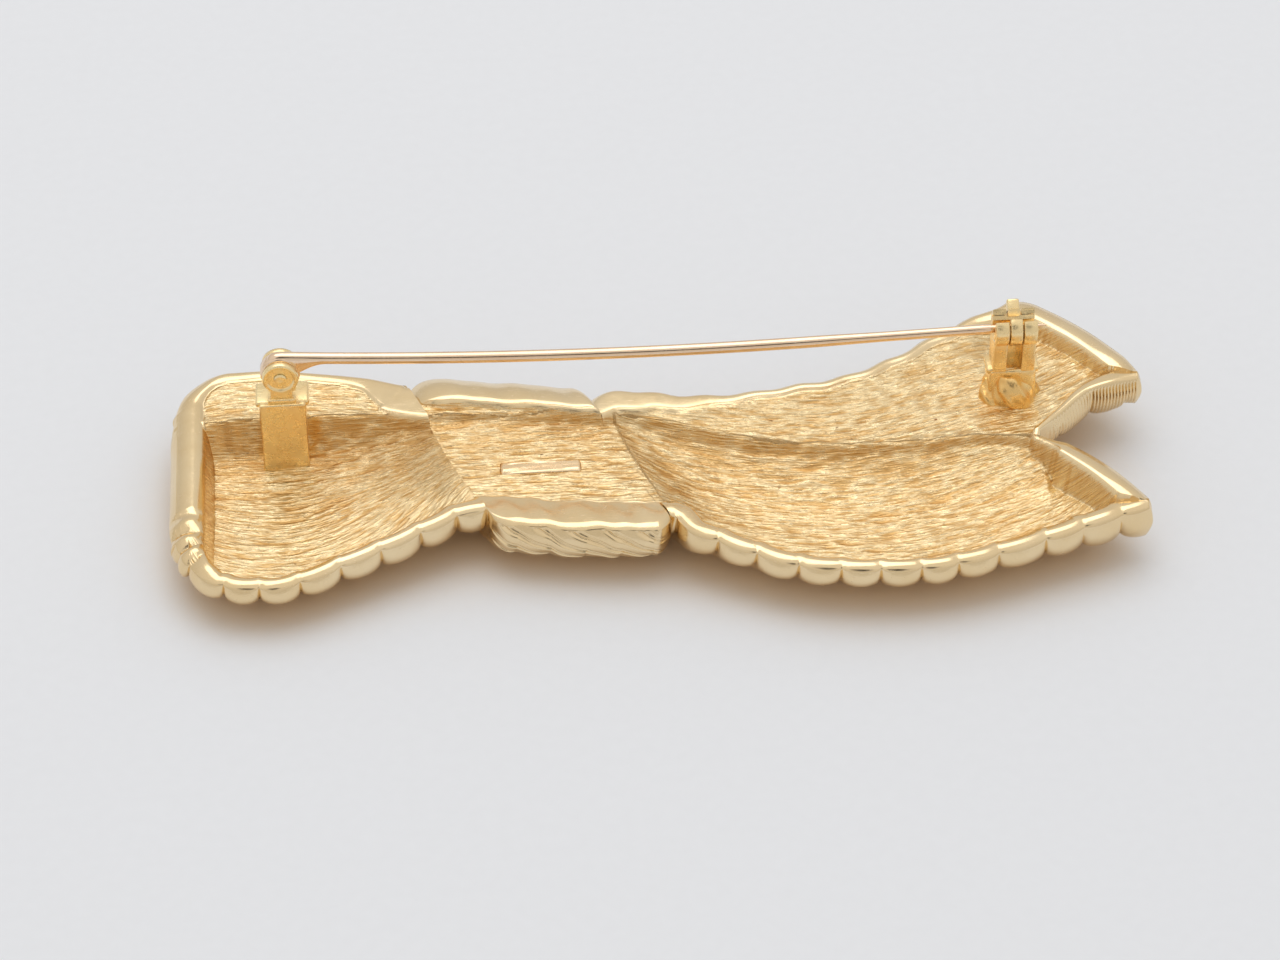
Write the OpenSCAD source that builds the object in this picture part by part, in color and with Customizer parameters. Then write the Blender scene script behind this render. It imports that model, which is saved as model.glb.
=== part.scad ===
// Cast ribbon brooch lying on its face: a hollow ribbed ribbon with a short square tail, a knot and
// two slanting tails, and a riveted pin stem and a roller catch soldered to the hollow back.
// +X runs from the short tail to the forked end, +Y away from the near edge, +Z up out of the back.

/* [Ribbon] */
// Width of the smooth lip round the hollow back
lip_w = 1.6; // [1.2:0.1:1.8]
// Width of the steep inner wall below the lip
wall_run = 0.6; // [0.4:0.1:0.9]
// How far the outer corner of the lip is rounded down
lip_round = 0.35; // [0.2:0.05:0.5]
// Depth of the valleys between the cross ribs
rib_h = 0.5; // [0.2:0.05:0.7]
// How far each rib swells out of the outer wall
rib_swell = 0.55; // [0.2:0.05:0.8]
// Cross ribs on the short tail
short_ribs = 8; // [6:1:10]
// Cross ribs from the knot to the notch
long_ribs = 10; // [8:1:12]
// Facets along one rib
rib_steps = 4; // [4:1:5]

/* [Knot] */
// How far the knot band stands out of the waist at each edge
band_out = 1.2; // [0.6:0.1:1.6]
// How far the knot band stands out of the front of the waist
band_deep = 1.2; // [0.6:0.1:1.4]
// Slanting grooves across the knot band
band_grooves = 5; // [3:1:7]
// Depth of the grooves of the knot band
groove_h = 0.35; // [0.1:0.05:0.5]
// Length of the bare plaque on the back of the knot
plaque_l = 6; // [4:0.5:8]

/* [Pin] */
// Radius of the pin stem
stem_r = 0.48; // [0.4:0.02:0.52]
// Height of the rivet above the surface that the brooch lies on
rivet_z = 11.15; // [10.9:0.05:11.4]
// How far the stem leaves the eye above the rivet
stem_rise = 1.35; // [1.1:0.05:1.4]
// Radius of the rivet
rivet_r = 0.5; // [0.4:0.02:0.55]
// Radius of the flat eye at the root of the stem
eye_r = 1.6; // [1.4:0.05:1.7]
// Radius of the round cheeks of the joint
cheek_r = 1.45; // [1.3:0.05:1.5]
// Thickness of each cheek
cheek_t = 0.6; // [0.4:0.05:0.8]

/* [Catch] */
// Outer radius of the catch rings
ring_r = 1.5; // [1.4:0.05:1.7]
// Bore radius of the catch rings
ring_bore_r = 1.02; // [0.98:0.02:1.1]
// Length of the catch along the stem
catch_l = 3.4; // [3:0.1:4]
// Width of the roller's flange between the rings
flange_w = 1; // [0.8:0.1:1.2]
// How far the finger tab of the roller stands out
tab_out = 0.8; // [0.4:0.1:1]

/* [Hidden] */
$fn = 64;

gold = [0.86, 0.71, 0.43];
rose_gold = [0.85, 0.64, 0.46];

// Middle of the plan, which becomes the origin
plan_mid = [1.175, 2.62];

// Outer edge on the near side: x, y, height of the lip, height of the outer wall
near_edge = [
    [-38.2, -6.3, 5.2, 3.0], [-37.5, -8.2, 5.0, 2.8], [-35.6, -9.6, 4.8, 2.4], [-33.0, -10.2, 4.6, 2.3],
    [-30.5, -10.4, 4.6, 2.4], [-28.2, -9.8, 4.6, 2.5], [-25.0, -8.3, 4.7, 2.7], [-21.5, -6.7, 4.9, 2.9],
    [-18.0, -4.9, 5.1, 2.9], [-15.2, -3.6, 5.3, 2.9], [-13.0, -3.6, 5.4, 3.3], [-6.0, -4.9, 5.5, 3.4],
    [0.9, -6.2, 5.4, 3.3], [3.2, -7.5, 5.3, 2.8], [6.6, -9.6, 5.1, 2.6], [9.8, -11.2, 5.0, 2.6],
    [13.5, -12.1, 5.0, 2.6], [18.0, -12.5, 5.0, 2.6], [21.5, -12.4, 5.0, 2.6], [25.5, -11.6, 5.1, 2.7],
    [31.4, -9.8, 5.3, 3.0], [35.0, -8.7, 5.6, 3.4], [38.6, -7.6, 5.8, 3.6]];

// Outer edge on the far side: x, y, height of the lip, height of the outer wall
far_edge = [
    [-38.2, 10.2, 5.8, 3.0], [-37.4, 12.2, 5.9, 2.8], [-35.8, 13.8, 6.0, 2.6], [-33.5, 14.6, 6.0, 2.5],
    [-30.5, 14.6, 6.0, 2.5], [-27.0, 14.0, 6.0, 2.5], [-22.7, 12.9, 6.1, 2.6], [-19.5, 11.6, 6.2, 2.8],
    [-12.0, 10.3, 6.3, 3.1], [-4.9, 9.3, 6.3, 3.0], [-1.5, 9.5, 6.3, 2.8], [3.5, 8.5, 6.3, 2.7],
    [7.9, 8.5, 6.3, 2.7], [11.7, 9.0, 6.4, 2.7], [16.0, 9.8, 6.4, 2.7], [20.3, 11.8, 6.4, 2.7],
    [24.0, 14.1, 6.5, 2.7], [28.0, 16.6, 6.6, 2.8], [31.4, 18.3, 6.8, 3.0]];

// Lengthwise fold that parts the low near layer from the high far layer: x, y
fold_line = [
    [-38.2, 8.4], [-32.0, 8.9], [-26.0, 8.7], [-18.0, 7.9], [-8.0, 7.5], [-1.0, 6.7],
    [4.0, 5.4], [9.0, 3.7], [14.0, 2.8], [19.0, 2.5], [24.0, 2.6], [27.0, 2.6], [31.4, 1.9]];

// Each station runs straight from the near edge to the far edge: near x, far x
stations = [[-38.2, -38.2], [-35.9, -35.9], [-13.6, -19.5], [0.9, -4.9], [16.0, 13.6], [31.4, 31.4]];

// Heights across a station, by its near x: near floor, far floor, near front, far front
layers = [
    [-38.2, 1.7, 5.3, 0.3, 2.6], [-34.0, 1.5, 5.2, 0, 2.6], [-27.0, 1.6, 5.2, 0, 2.6],
    [-20.0, 2.5, 5.2, 0.3, 2.6], [-15.5, 4.2, 5.2, 1.0, 2.4], [-13.0, 4.5, 5.2, 1.2, 2.0],
    [-6.0, 4.5, 5.2, 1.2, 1.8], [-0.5, 4.4, 5.2, 1.2, 1.9], [2.2, 4.2, 5.2, 1.0, 2.3],
    [5.5, 2.3, 5.0, 0.3, 2.4], [9.0, 1.8, 4.9, 0, 2.4], [18.0, 1.6, 4.8, 0, 2.2],
    [26.0, 1.9, 5.0, 0, 1.9], [31.4, 2.6, 5.2, 0.3, 1.6], [36.0, 3.4, 5.4, 0.7, 1.4], [41.0, 4, 5.7, 1, 1.6]];

// Slanting end of the near tail and both edges of the far tail: x, y
near_cut = [[31.4, 1.6], [32.4, 1.2], [33.4, 0.2], [36.0, -3.1], [38.6, -6.7]];
far_notch = [[31.4, 2.2], [33.4, 3.9], [35.8, 6.0], [37.8, 6.7], [40.3, 7.3]];
far_cut = [[31.4, 18.3], [32.3, 18.1], [33.3, 17.1], [36.5, 13.2], [39.2, 9.6], [40.3, 8.0]];
tip_rim = 6.6;
tip_wall = 3.8;
notch_rim = 6.0;
notch_wall = 3.4;

short_x = stations[0][0];
knot_x = [stations[2][0], stations[3][0]];
notch_x = stations[5][0];
near_tip_x = near_cut[len(near_cut) - 1][0];
far_tip_x = far_cut[len(far_cut) - 1][0];
rib_pitch = (notch_x - knot_x[1]) / long_ribs;

// Fold: width of the step, width of the lip beside it, and how far that lip stands up
step_w = 0.6;
fold_lip = 0.7;
fold_crest = 0.2;
// Width of the lip along the slanting ends, measured across the brooch
cut_lip = 1.5;
far_cut_lip = 2.4;
// The fold's lip rises to the height of the notch over this run before the notch
apex_from = 2.4;
apex_run = 2.2;
// Largest share of a layer that one lip and its wall may take
lip_share = 0.45;
// Part of the lip's width that is rounded down
round_share = 0.25;
// How far the middle of the hollow dips
floor_dip = 0.15;

// Front face: how far in from an edge it turns up, and how far inside the lip it starts
turn_w = 5;
turn_in = 0.5;
// How far the front turns up at the end of the short tail, at the very end and just inside it
end_up = [1.4, 0.5];

// Outer wall: how far it swells everywhere, beside the knot, at the ends and along the slanting edges
wall_swell = 0.2;
band_swell = 0.35;
end_swell = 0.9;
cut_swell = 0.3;
// How far the outline goes in between two ribs, and how blunt a rib is, from 1 down
valley_in = 0.12;
rib_blunt = 0.7;
// How many grooves a groove of the knot crosses from edge to edge
groove_slant = 1.5;
cut_out = [0.7, 0.7, 0];
notch_out = [0.4, -0.9, 0];

// Along the tails: run over which a rim reaches its height at the tip, and width at which the floor rises
near_rise = 4;
far_rise = 6;
swell_run = 1.5;
narrow_w = 5.5;
narrow_run = 4;
narrow_sink = 0.3;
near_steps = 9;
far_steps = 11;

// Plaque: middle of its foot on the back of the knot, its width, how deep it is bedded and how far it
// stands out
plaque_at = [-9.4, 2.2, 4.35];
plaque_w = 1.4;
plaque_bed = 0.3;
plaque_h = 0.2;

// How deep a neck or leg is sunk in its plate
sink = 0.1;

// Joint: the stem runs along pin_y, between two cheeks on a post
pin_y = 7.9;
hinge_x = -29.5;
eye_t = 1.1;
cheek_gap = 0.06;
near_cheek_y = pin_y - eye_t / 2 - cheek_gap - cheek_t;
far_cheek_y = pin_y + eye_t / 2 + cheek_gap;
// The eye is higher than it is wide: a second round lobe carries the root of the stem
lobe_r = 1.15;
neck_w = 1.75;
rivet_gap = 0.05;
rivet_proud = 0.08;
joint_y = 8;
joint_post = [3.7, 3];
joint_plate = [4.8, 2.6, 0.5];
joint_foot = 0.9;
joint_top = rivet_z - 2.45;

// Stem: an arc of radius bow_r, lowest at bow_x, then straight from straight_x on
bow_r = 400;
bow_x = 2;
straight_x = 14;
bow_from = asin((bow_x - hinge_x) / bow_r);
bow_to = asin((straight_x - bow_x) / bow_r);
bow_z = rivet_z + stem_rise - bow_r * (1 - cos(bow_from));
function stem_z(x) = x < straight_x ? bow_z + bow_r - sqrt(bow_r * bow_r - pow(x - bow_x, 2))
    : bow_z + bow_r * (1 - cos(bow_to)) + (x - straight_x) * tan(bow_to);
lap = 0.4;
lap_step = 0.02;
tip_r = 0.41;
point_r = 0.08;
taper_l = 5;
shank_l = 8.2;
point_l = 5.2;

// Catch: two rings and a roller on a post, along the stem
catch_x = 29.8;
catch_z = stem_z(catch_x);
ring_side_gap = 0.1;
ring_w = (catch_l - flange_w) / 2 - ring_side_gap;
slot_w = 1.2;
leg_w = 1.6;
catch_post = [3.8, 2.2];
catch_plate = [4.3, 1.8, 0.5];
catch_foot = 4.2;
catch_top = catch_z - 3.6;
roller_gap = 0.05;
roller_bore_r = 0.62;
roller_slot_w = 1.1;
// Turn of the finger tab from straight up towards the far side
tab_turn = 50;
tab_t = 0.7;

function mix(a, b, t) = a + (b - a) * t;
function level(x, col) = lookup(x, [for (row = layers) [row[0], row[col]]]);
function ease(t) = let (c = min(1, max(0, t))) c * c * (3 - 2 * c);

// Smooth curve through the rows of a table, read at x from one of its columns
function row_at(x, table, i = 0) =
    (i >= len(table) - 2 || x < table[i + 1][0]) ? i : row_at(x, table, i + 1);
function slope_at(table, i, col) =
    let (a = max(0, i - 1), b = min(len(table) - 1, i + 1))
    (table[b][col] - table[a][col]) / (table[b][0] - table[a][0]);
function curve(x, table, col) =
    let (i = row_at(x, table), p = table[i], q = table[i + 1], h = q[0] - p[0], t = (x - p[0]) / h)
    p[col] * (2 * pow(t, 3) - 3 * pow(t, 2) + 1) + q[col] * (3 * pow(t, 2) - 2 * pow(t, 3))
    + h * slope_at(table, i, col) * (pow(t, 3) - 2 * pow(t, 2) + t)
    + h * slope_at(table, i + 1, col) * (pow(t, 3) - pow(t, 2));

// Ribs: 0 in a valley and 1 on a crest, by the near x of a station
function rib_phase(x) =
    x < knot_x[0] ? (x - short_x) / (knot_x[0] - short_x) * short_ribs : (x - knot_x[1]) / rib_pitch;
function crest(phase) = pow(max(0, sin(180 * (phase - floor(phase)))), rib_blunt);
function in_band(x) = x > knot_x[0] + 0.1 && x < knot_x[1] - 0.1;
function groove_phase(x, across) =
    (x - knot_x[0]) / (knot_x[1] - knot_x[0]) * band_grooves + across * groove_slant;
function relief(x, across) = in_band(x) ? crest(groove_phase(x, across)) : crest(rib_phase(x));

// One layer across a station is nine points: a lip, two on the floor, and a lip on the far side
function layer_runs(w, lip_a, lip_b) =
    let (k = min(1, lip_share * w / (max(lip_a, lip_b) + wall_run)),
         a = k * (lip_a + wall_run), b = w - k * (lip_b + wall_run))
    [0, k * round_share * lip_a, k * lip_a, a, mix(a, b, 1 / 3), mix(a, b, 2 / 3), b, w - k * lip_b, w];

// Heights of the hollow side of a layer; hold is 1 where that edge has a lip and 0 at the fold
function layer_back(floor_z, rim_a, rim_b, hold_a, hold_b) = [
    mix(floor_z + fold_crest, rim_a - lip_round, hold_a), mix(floor_z + fold_crest, rim_a, hold_a),
    mix(floor_z, rim_a, hold_a), floor_z, floor_z - floor_dip, floor_z - floor_dip, floor_z,
    mix(floor_z, rim_b, hold_b), mix(floor_z, rim_b - lip_round, hold_b)];

// Height of the front face: a crest level that turns up towards each edge, with ribs cut into it
function turn_up(d) = pow(max(0, 1 - d / turn_w), 2);
function front_z(x, across, level, edge_a, edge_b, d, w) =
    let (z = in_band(x) ? max(0, level - band_deep) : level,
         depth = in_band(x) ? groove_h : rib_h)
    z + max((edge_a - z) * turn_up(d), (edge_b - z) * turn_up(w - d)) + depth * (1 - relief(x, across));

// A swelling point half way down the outer wall
function wall_mid(back, front, out, swell) = (back + front) / 2 + swell * out;

// A whole station: hollow side, front side, and the middle of its near and far wall
function station(x) =
    let (xf = lookup(x, stations),
         out = in_band(x) ? band_out : -valley_in * (1 - crest(rib_phase(x))),
         n = [x, curve(x, near_edge, 1) - out],
         f = [xf, curve(xf, far_edge, 1) + out],
         rim_n = curve(x, near_edge, 2), rim_f = curve(xf, far_edge, 2),
         w = norm(f - n),
         r = (curve(mix(x, xf, 0.7), fold_line, 1) - n[1]) / (f[1] - n[1]) * w,
         apex = ease((x - notch_x + apex_from) / apex_run),
         fl = mix(fold_lip, cut_lip, apex),
         lip_f = mix(lip_w, far_cut_lip, ease((x - notch_x + 1) / 2)),
         runs = concat(layer_runs(r - step_w / 2, lip_w, fl),
                       [for (d = layer_runs(w - r - step_w / 2, fl, lip_f)) r + step_w / 2 + d]),
         backs = concat(layer_back(level(x, 1), rim_n, notch_rim, 1, apex),
                        layer_back(level(x, 2), notch_rim, rim_f, apex, 1)))
    station_points(x, n, f, w, runs, backs, rim_n, rim_f);

function station_points(x, n, f, w, runs, backs, rim_n, rim_f) =
    let (last = len(runs) - 1,
         end = x == short_x,
         lip = x < short_x + lip_w,
         foot_n = rim_n - curve(x, near_edge, 3), foot_f = rim_f - curve(f[0], far_edge, 3),
         up = end ? end_up[0] : x < short_x + lip_w / 2 ? end_up[1] : 0,
         back = [for (j = [0:last])
                 let (p = mix(n, f, runs[j] / w),
                      rim = mix(rim_n, rim_f, runs[j] / w) - (end || j == 0 || j == last ? lip_round : 0))
                 [p[0], p[1], lip ? rim : backs[j]]],
         front = [for (j = [0:last])
                 let (d = mix(turn_in, w - turn_in, runs[j] / w), p = mix(n, f, d / w),
                      z = front_z(x, d / w, level(x, j <= last / 2 ? 3 : 4), foot_n, foot_f, d, w))
                 [p[0] + (end ? turn_in : 0), p[1], z + up]],
         swell = wall_swell + (in_band(x) ? band_swell : rib_swell * crest(rib_phase(x))))
    [back, front, wall_mid(back[0], front[0], [0, -1, 0], swell),
     wall_mid(back[last], front[last], [0, 1, 0], swell)];

// A station of one tail, from its near edge to its far edge at the same x; col is its floor's column
function tail_points(x, ya, yb, rim_a, rim_b, lip_a, lip_b, col, edge_a, edge_b) =
    let (w = yb - ya,
         runs = layer_runs(w, lip_a, lip_b),
         floor_up = mix(level(x, col), min(rim_a, rim_b) - narrow_sink, ease((narrow_w - w) / narrow_run)),
         backs = layer_back(floor_up, rim_a, rim_b, 1, 1),
         inset = min(turn_in, w / 4))
    [[for (j = [0:8]) [x, ya + runs[j], backs[j]]],
     [for (j = [0:8]) let (d = mix(inset, w - inset, runs[j] / w))
         [x, ya + d, front_z(x, 0, level(x, col + 2), edge_a, edge_b, d, w)]]];

function near_tail(x) =
    let (rim = curve(x, near_edge, 2),
         t = tail_points(x, curve(x, near_edge, 1), curve(x, near_cut, 1),
                         rim, mix(notch_rim, rim, ease((x - notch_x) / near_rise)), lip_w, cut_lip, 1,
                         rim - curve(x, near_edge, 3), rim - notch_wall))
    [t[0], t[1], wall_mid(t[0][0], t[1][0], [0, -1, 0], wall_swell + rib_swell * crest(rib_phase(x))),
     wall_mid(t[0][8], t[1][8], cut_out, cut_swell * ease((x - notch_x) / swell_run))];

function far_tail(x) =
    let (rise = ease((x - notch_x) / far_rise),
         rim_a = mix(notch_rim, tip_rim, rise),
         rim_b = mix(curve(notch_x, far_edge, 2), tip_rim, rise),
         wall = mix(notch_wall, tip_wall, rise),
         start = ease((x - notch_x) / swell_run),
         t = tail_points(x, curve(x, far_notch, 1), curve(x, far_cut, 1), rim_a, rim_b, cut_lip, far_cut_lip,
                         2, rim_a - wall, rim_b - wall))
    [t[0], t[1], wall_mid(t[0][0], t[1][0], notch_out, rib_swell * crest(rib_phase(x)) * start),
     wall_mid(t[0][8], t[1][8], cut_out, mix(wall_swell, cut_swell, start))];

function spread(a, b, n) = [for (i = [0:n]) mix(a, b, i / n)];
main_x = concat(spread(short_x, knot_x[0], short_ribs * rib_steps),
                spread(knot_x[0] + 0.25, knot_x[1] - 0.25, band_grooves * rib_steps),
                spread(knot_x[1], notch_x, long_ribs * rib_steps));

// Two triangles for each cell of a grid of points, seen from one side or the other
function skin(g, flip) = [for (i = [0:len(g) - 2]) for (j = [0:len(g[0]) - 2])
    let (a = g[i][j], b = g[i + 1][j], c = g[i + 1][j + 1], d = g[i][j + 1])
    each flip ? [[a, c, b], [a, d, c]] : [[a, b, c], [a, c, d]]];
function column(sections, side, j) = [for (s = sections) [s[0][j], s[side], s[1][j]]];
function end_wall(s, out) = let (last = len(s[0]) - 1) [for (j = [0:last])
    [s[0][j], j == 0 ? s[2] : j == last ? s[3] : wall_mid(s[0][j], s[1][j], out, end_swell), s[1][j]]];

// One layer of the last whole station, where a tail starts
function half(s, first, mid_a, mid_b) =
    [[for (j = [0:8]) s[0][first + j]], [for (j = [0:8]) s[1][first + j]], mid_a, mid_b];

module ribbon_shell() {
    main = [for (x = main_x) station(x)];
    fork = main[len(main) - 1];
    apex = [for (j = [8, 9]) [fork[0][j], (fork[0][j] + fork[1][j]) / 2, fork[1][j]]];
    near = concat([half(fork, 0, fork[2], apex[0][1])],
                  [for (x = spread(notch_x, near_tip_x, near_steps)) if (x > notch_x) near_tail(x)]);
    far = concat([half(fork, 9, apex[1][1], fork[3])],
                 [for (x = spread(notch_x, far_tip_x, far_steps)) if (x > notch_x) far_tail(x)]);
    tris = concat(
        [for (part = [main, near, far]) each concat(skin([for (s = part) s[0]], true),
                                                    skin([for (s = part) s[1]], false))],
        skin(column(main, 2, 0), false), skin(column(near, 2, 0), false), skin(column(far, 2, 0), false),
        skin(column(main, 3, 17), true), skin(column(near, 3, 8), true), skin(column(far, 3, 8), true),
        skin(end_wall(main[0], [-1, 0, 0]), true), skin(apex, false),
        skin(end_wall(near[len(near) - 1], [1, 0, 0]), false),
        skin(end_wall(far[len(far) - 1], [1, 0, 0]), false));
    polyhedron([for (t = tris) each t], [for (i = [0:len(tris) - 1]) [3 * i, 3 * i + 1, 3 * i + 2]]);
}

// A bare raised plaque on the back of the knot
module plaque() {
    translate([plaque_at[0] - plaque_l / 2, plaque_at[1] - plaque_w / 2, plaque_at[2] - plaque_bed])
        cube([plaque_l, plaque_w, plaque_bed + plaque_h]);
}

// A square post that stands in the hollow and carries a plate
module post(at, size, foot_z, top_z, plate) {
    translate([at[0] - size[0] / 2, at[1] - size[1] / 2, foot_z])
        cube([size[0], size[1], top_z - foot_z]);
    translate([at[0] - plate[0] / 2, at[1] + size[1] / 2 - plate[1], top_z - plate[2]]) cube(plate);
}

// A cheek of the joint: a round plate on a narrow neck, bored for the rivet
module cheek(y) {
    translate([hinge_x, y + cheek_t, rivet_z]) rotate([90, 0, 0]) difference() {
        union() {
            cylinder(r = cheek_r, h = cheek_t);
            translate([-neck_w / 2, joint_top - rivet_z - sink, 0])
                cube([neck_w, rivet_z - joint_top, cheek_t]);
        }
        translate([0, 0, -1]) cylinder(r = rivet_r, h = cheek_t + 2);
    }
}

module joint() {
    post([hinge_x, joint_y], joint_post, joint_foot, joint_top, joint_plate);
    cheek(near_cheek_y);
    cheek(far_cheek_y);
}

// A catch ring: a short tube along X, open at the top so that the stem can lift out, on a leg
module catch_ring(x) {
    difference() {
        union() {
            translate([x, pin_y, catch_z]) rotate([0, 90, 0]) cylinder(r = ring_r, h = ring_w);
            translate([x, pin_y - leg_w / 2, catch_top - sink]) cube([ring_w, leg_w, catch_z - catch_top]);
        }
        translate([x - 1, pin_y, catch_z]) rotate([0, 90, 0]) cylinder(r = ring_bore_r, h = ring_w + 2);
        translate([x - 1, pin_y - slot_w / 2, catch_z]) cube([ring_w + 2, slot_w, ring_r + 1]);
    }
}

module catch_housing() {
    post([catch_x, pin_y], catch_post, catch_foot, catch_top, catch_plate);
    catch_ring(catch_x - catch_l / 2);
    catch_ring(catch_x + catch_l / 2 - ring_w);
}

module ribbon_body() {
    color(gold) translate([-plan_mid[0], -plan_mid[1], 0]) union() {
        ribbon_shell();
        plaque();
        joint();
        catch_housing();
    }
}

module hinge_rivet() {
    color(gold) translate([hinge_x - plan_mid[0], far_cheek_y + cheek_t + rivet_proud - plan_mid[1], rivet_z])
        rotate([90, 0, 0]) cylinder(r = rivet_r, h = far_cheek_y - near_cheek_y + cheek_t + 2 * rivet_proud);
}

// The stem bows gently down from the eye, then runs straight through the catch to its point
module pin_stem() {
    color(rose_gold) translate([-plan_mid[0], pin_y - plan_mid[1], 0]) difference() {
        union() {
            for (lobe = [[0, eye_r], [stem_rise + stem_r - lobe_r, lobe_r]])
                translate([hinge_x, eye_t / 2, rivet_z + lobe[0]]) rotate([90, 0, 0])
                    cylinder(r = lobe[1], h = eye_t);
            translate([bow_x, 0, bow_z + bow_r]) rotate([90, 0, 0]) rotate([0, 0, -90 - bow_from])
                rotate_extrude(angle = bow_from + bow_to, $fn = 720)
                    translate([bow_r, 0]) circle(r = stem_r, $fn = 32);
            translate([straight_x, 0, stem_z(straight_x)]) rotate([0, 90 - bow_to, 0]) {
                translate([0, 0, -lap])
                    cylinder(r1 = stem_r + lap_step, r2 = tip_r, h = taper_l + lap, $fn = 32);
                translate([0, 0, taper_l]) cylinder(r = tip_r, h = shank_l, $fn = 32);
                translate([0, 0, taper_l + shank_l])
                    cylinder(r1 = tip_r, r2 = point_r, h = point_l, $fn = 32);
            }
        }
        translate([hinge_x, eye_t, rivet_z]) rotate([90, 0, 0])
            cylinder(r = rivet_r + rivet_gap, h = 2 * eye_t);
    }
}

// The roller: a slotted tube that turns in both rings, with a flange and a finger tab between them
module catch_roller() {
    color(gold) translate([catch_x - plan_mid[0], pin_y - plan_mid[1], catch_z])
        rotate([0, 90, 0]) difference() {
        union() {
            translate([0, 0, -catch_l / 2]) cylinder(r = ring_bore_r - roller_gap, h = catch_l);
            translate([0, 0, -flange_w / 2]) cylinder(r = ring_r, h = flange_w);
            rotate([0, 0, 180 - tab_turn]) translate([0, -tab_t / 2, -flange_w / 2])
                cube([ring_r + tab_out, tab_t, flange_w]);
        }
        translate([0, 0, -catch_l]) cylinder(r = roller_bore_r, h = 2 * catch_l);
        translate([-ring_r - 1, -roller_slot_w / 2, -catch_l]) cube([ring_r + 1, roller_slot_w, 2 * catch_l]);
    }
}

ribbon_body();
hinge_rivet();
pin_stem();
catch_roller();
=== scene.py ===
"""A cast ribbon brooch that lies on its face, its hollow back up and its pin closed across it.

Shapes are worked out in millimetres, in the drawing's own coordinates: x runs from the short tail to the
forked end, y away from the near edge, z up from the surface that the brooch lies on. make_piece puts each
finished mesh where the frame has it, in metres.
"""
from __future__ import annotations

import logging
import math
from dataclasses import dataclass, field
from enum import Enum
from typing import Callable, NamedTuple, Sequence

import bmesh
import bpy
import numpy as np
from mathutils import Matrix, Vector
from mathutils.kdtree import KDTree


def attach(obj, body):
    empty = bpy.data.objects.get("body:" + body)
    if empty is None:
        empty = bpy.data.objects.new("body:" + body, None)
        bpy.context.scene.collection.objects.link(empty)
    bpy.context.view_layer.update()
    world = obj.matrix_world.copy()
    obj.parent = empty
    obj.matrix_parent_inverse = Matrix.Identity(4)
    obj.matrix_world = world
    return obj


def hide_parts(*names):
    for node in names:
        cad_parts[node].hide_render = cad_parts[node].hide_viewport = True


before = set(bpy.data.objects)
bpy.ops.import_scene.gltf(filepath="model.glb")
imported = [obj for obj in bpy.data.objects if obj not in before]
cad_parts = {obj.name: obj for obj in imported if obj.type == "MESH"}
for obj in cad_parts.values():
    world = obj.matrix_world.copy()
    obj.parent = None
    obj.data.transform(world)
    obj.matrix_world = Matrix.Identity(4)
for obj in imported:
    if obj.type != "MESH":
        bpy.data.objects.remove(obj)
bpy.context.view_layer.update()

LOG = logging.getLogger("brooch")
MM = 0.001
PLAN_MID = (1.175, 2.62)
WELD = 1e-4

Array = np.ndarray
Mesh = bmesh.types.BMesh
Socket = bpy.types.NodeSocket
Triple = tuple[float, float, float]
Colour = tuple[float, float, float, float]


class Body(Enum):
    """The bodies that pieces ride on."""

    RIBBON = "ribbon"
    PIN = "pin"
    ROLLER = "roller"


class Slot(Enum):
    """The record's material slots."""

    CAST = "cast_gold"
    FITTINGS = "fittings_gold"
    STEM = "stem_rose"


class EdgeRow(NamedTuple):
    """One row of an outer edge: plan place, height of its lip, height of its wall, width of its lip."""

    x: float
    y: float
    rim: float
    wall: float
    lip: float


def edge_rows(*rows: tuple[float, ...]) -> tuple[EdgeRow, ...]:
    """The table of one edge."""
    return tuple(EdgeRow(*row) for row in rows)


NEAR_EDGE = edge_rows(
    (-38.2, -4.9, 5.2, 3.0, 2.3), (-38.0, -5.8, 5.2, 2.9, 2.2),
    (-37.6, -6.75, 5.15, 2.9, 2.05), (-37.05, -7.7, 5.1, 2.8, 1.9),
    (-36.4, -8.55, 5.0, 2.7, 1.75), (-35.6, -9.3, 4.85, 2.6, 1.65),
    (-34.6, -9.85, 4.7, 2.5, 1.55), (-33.0, -10.2, 4.6, 2.5, 1.5),
    (-30.5, -10.4, 4.6, 2.5, 1.4), (-28.2, -9.8, 4.6, 2.6, 1.4),
    (-25.0, -8.3, 4.7, 2.7, 1.4), (-21.5, -6.7, 4.9, 2.9, 1.4),
    (-18.0, -4.9, 5.1, 2.9, 1.5), (-15.2, -3.6, 5.3, 2.9, 1.7),
    (-13.0, -3.6, 5.4, 3.3, 2.0), (-6.0, -4.9, 5.5, 3.4, 2.0),
    (0.9, -5.6, 5.4, 3.2, 1.9), (2.2, -7.0, 5.3, 2.9, 1.8),
    (3.4, -7.8, 5.3, 2.8, 1.7), (6.6, -9.6, 5.1, 2.6, 1.6),
    (9.8, -11.2, 5.0, 2.6, 1.6), (13.5, -12.1, 5.0, 2.6, 1.5),
    (18.0, -12.5, 5.0, 2.6, 1.4), (21.5, -12.4, 5.0, 2.6, 1.4),
    (25.5, -11.6, 5.1, 2.7, 1.5), (31.4, -9.8, 5.3, 3.0, 1.6),
    (35.0, -8.7, 5.6, 3.4, 1.7), (38.6, -7.6, 5.8, 3.6, 1.7))

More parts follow.
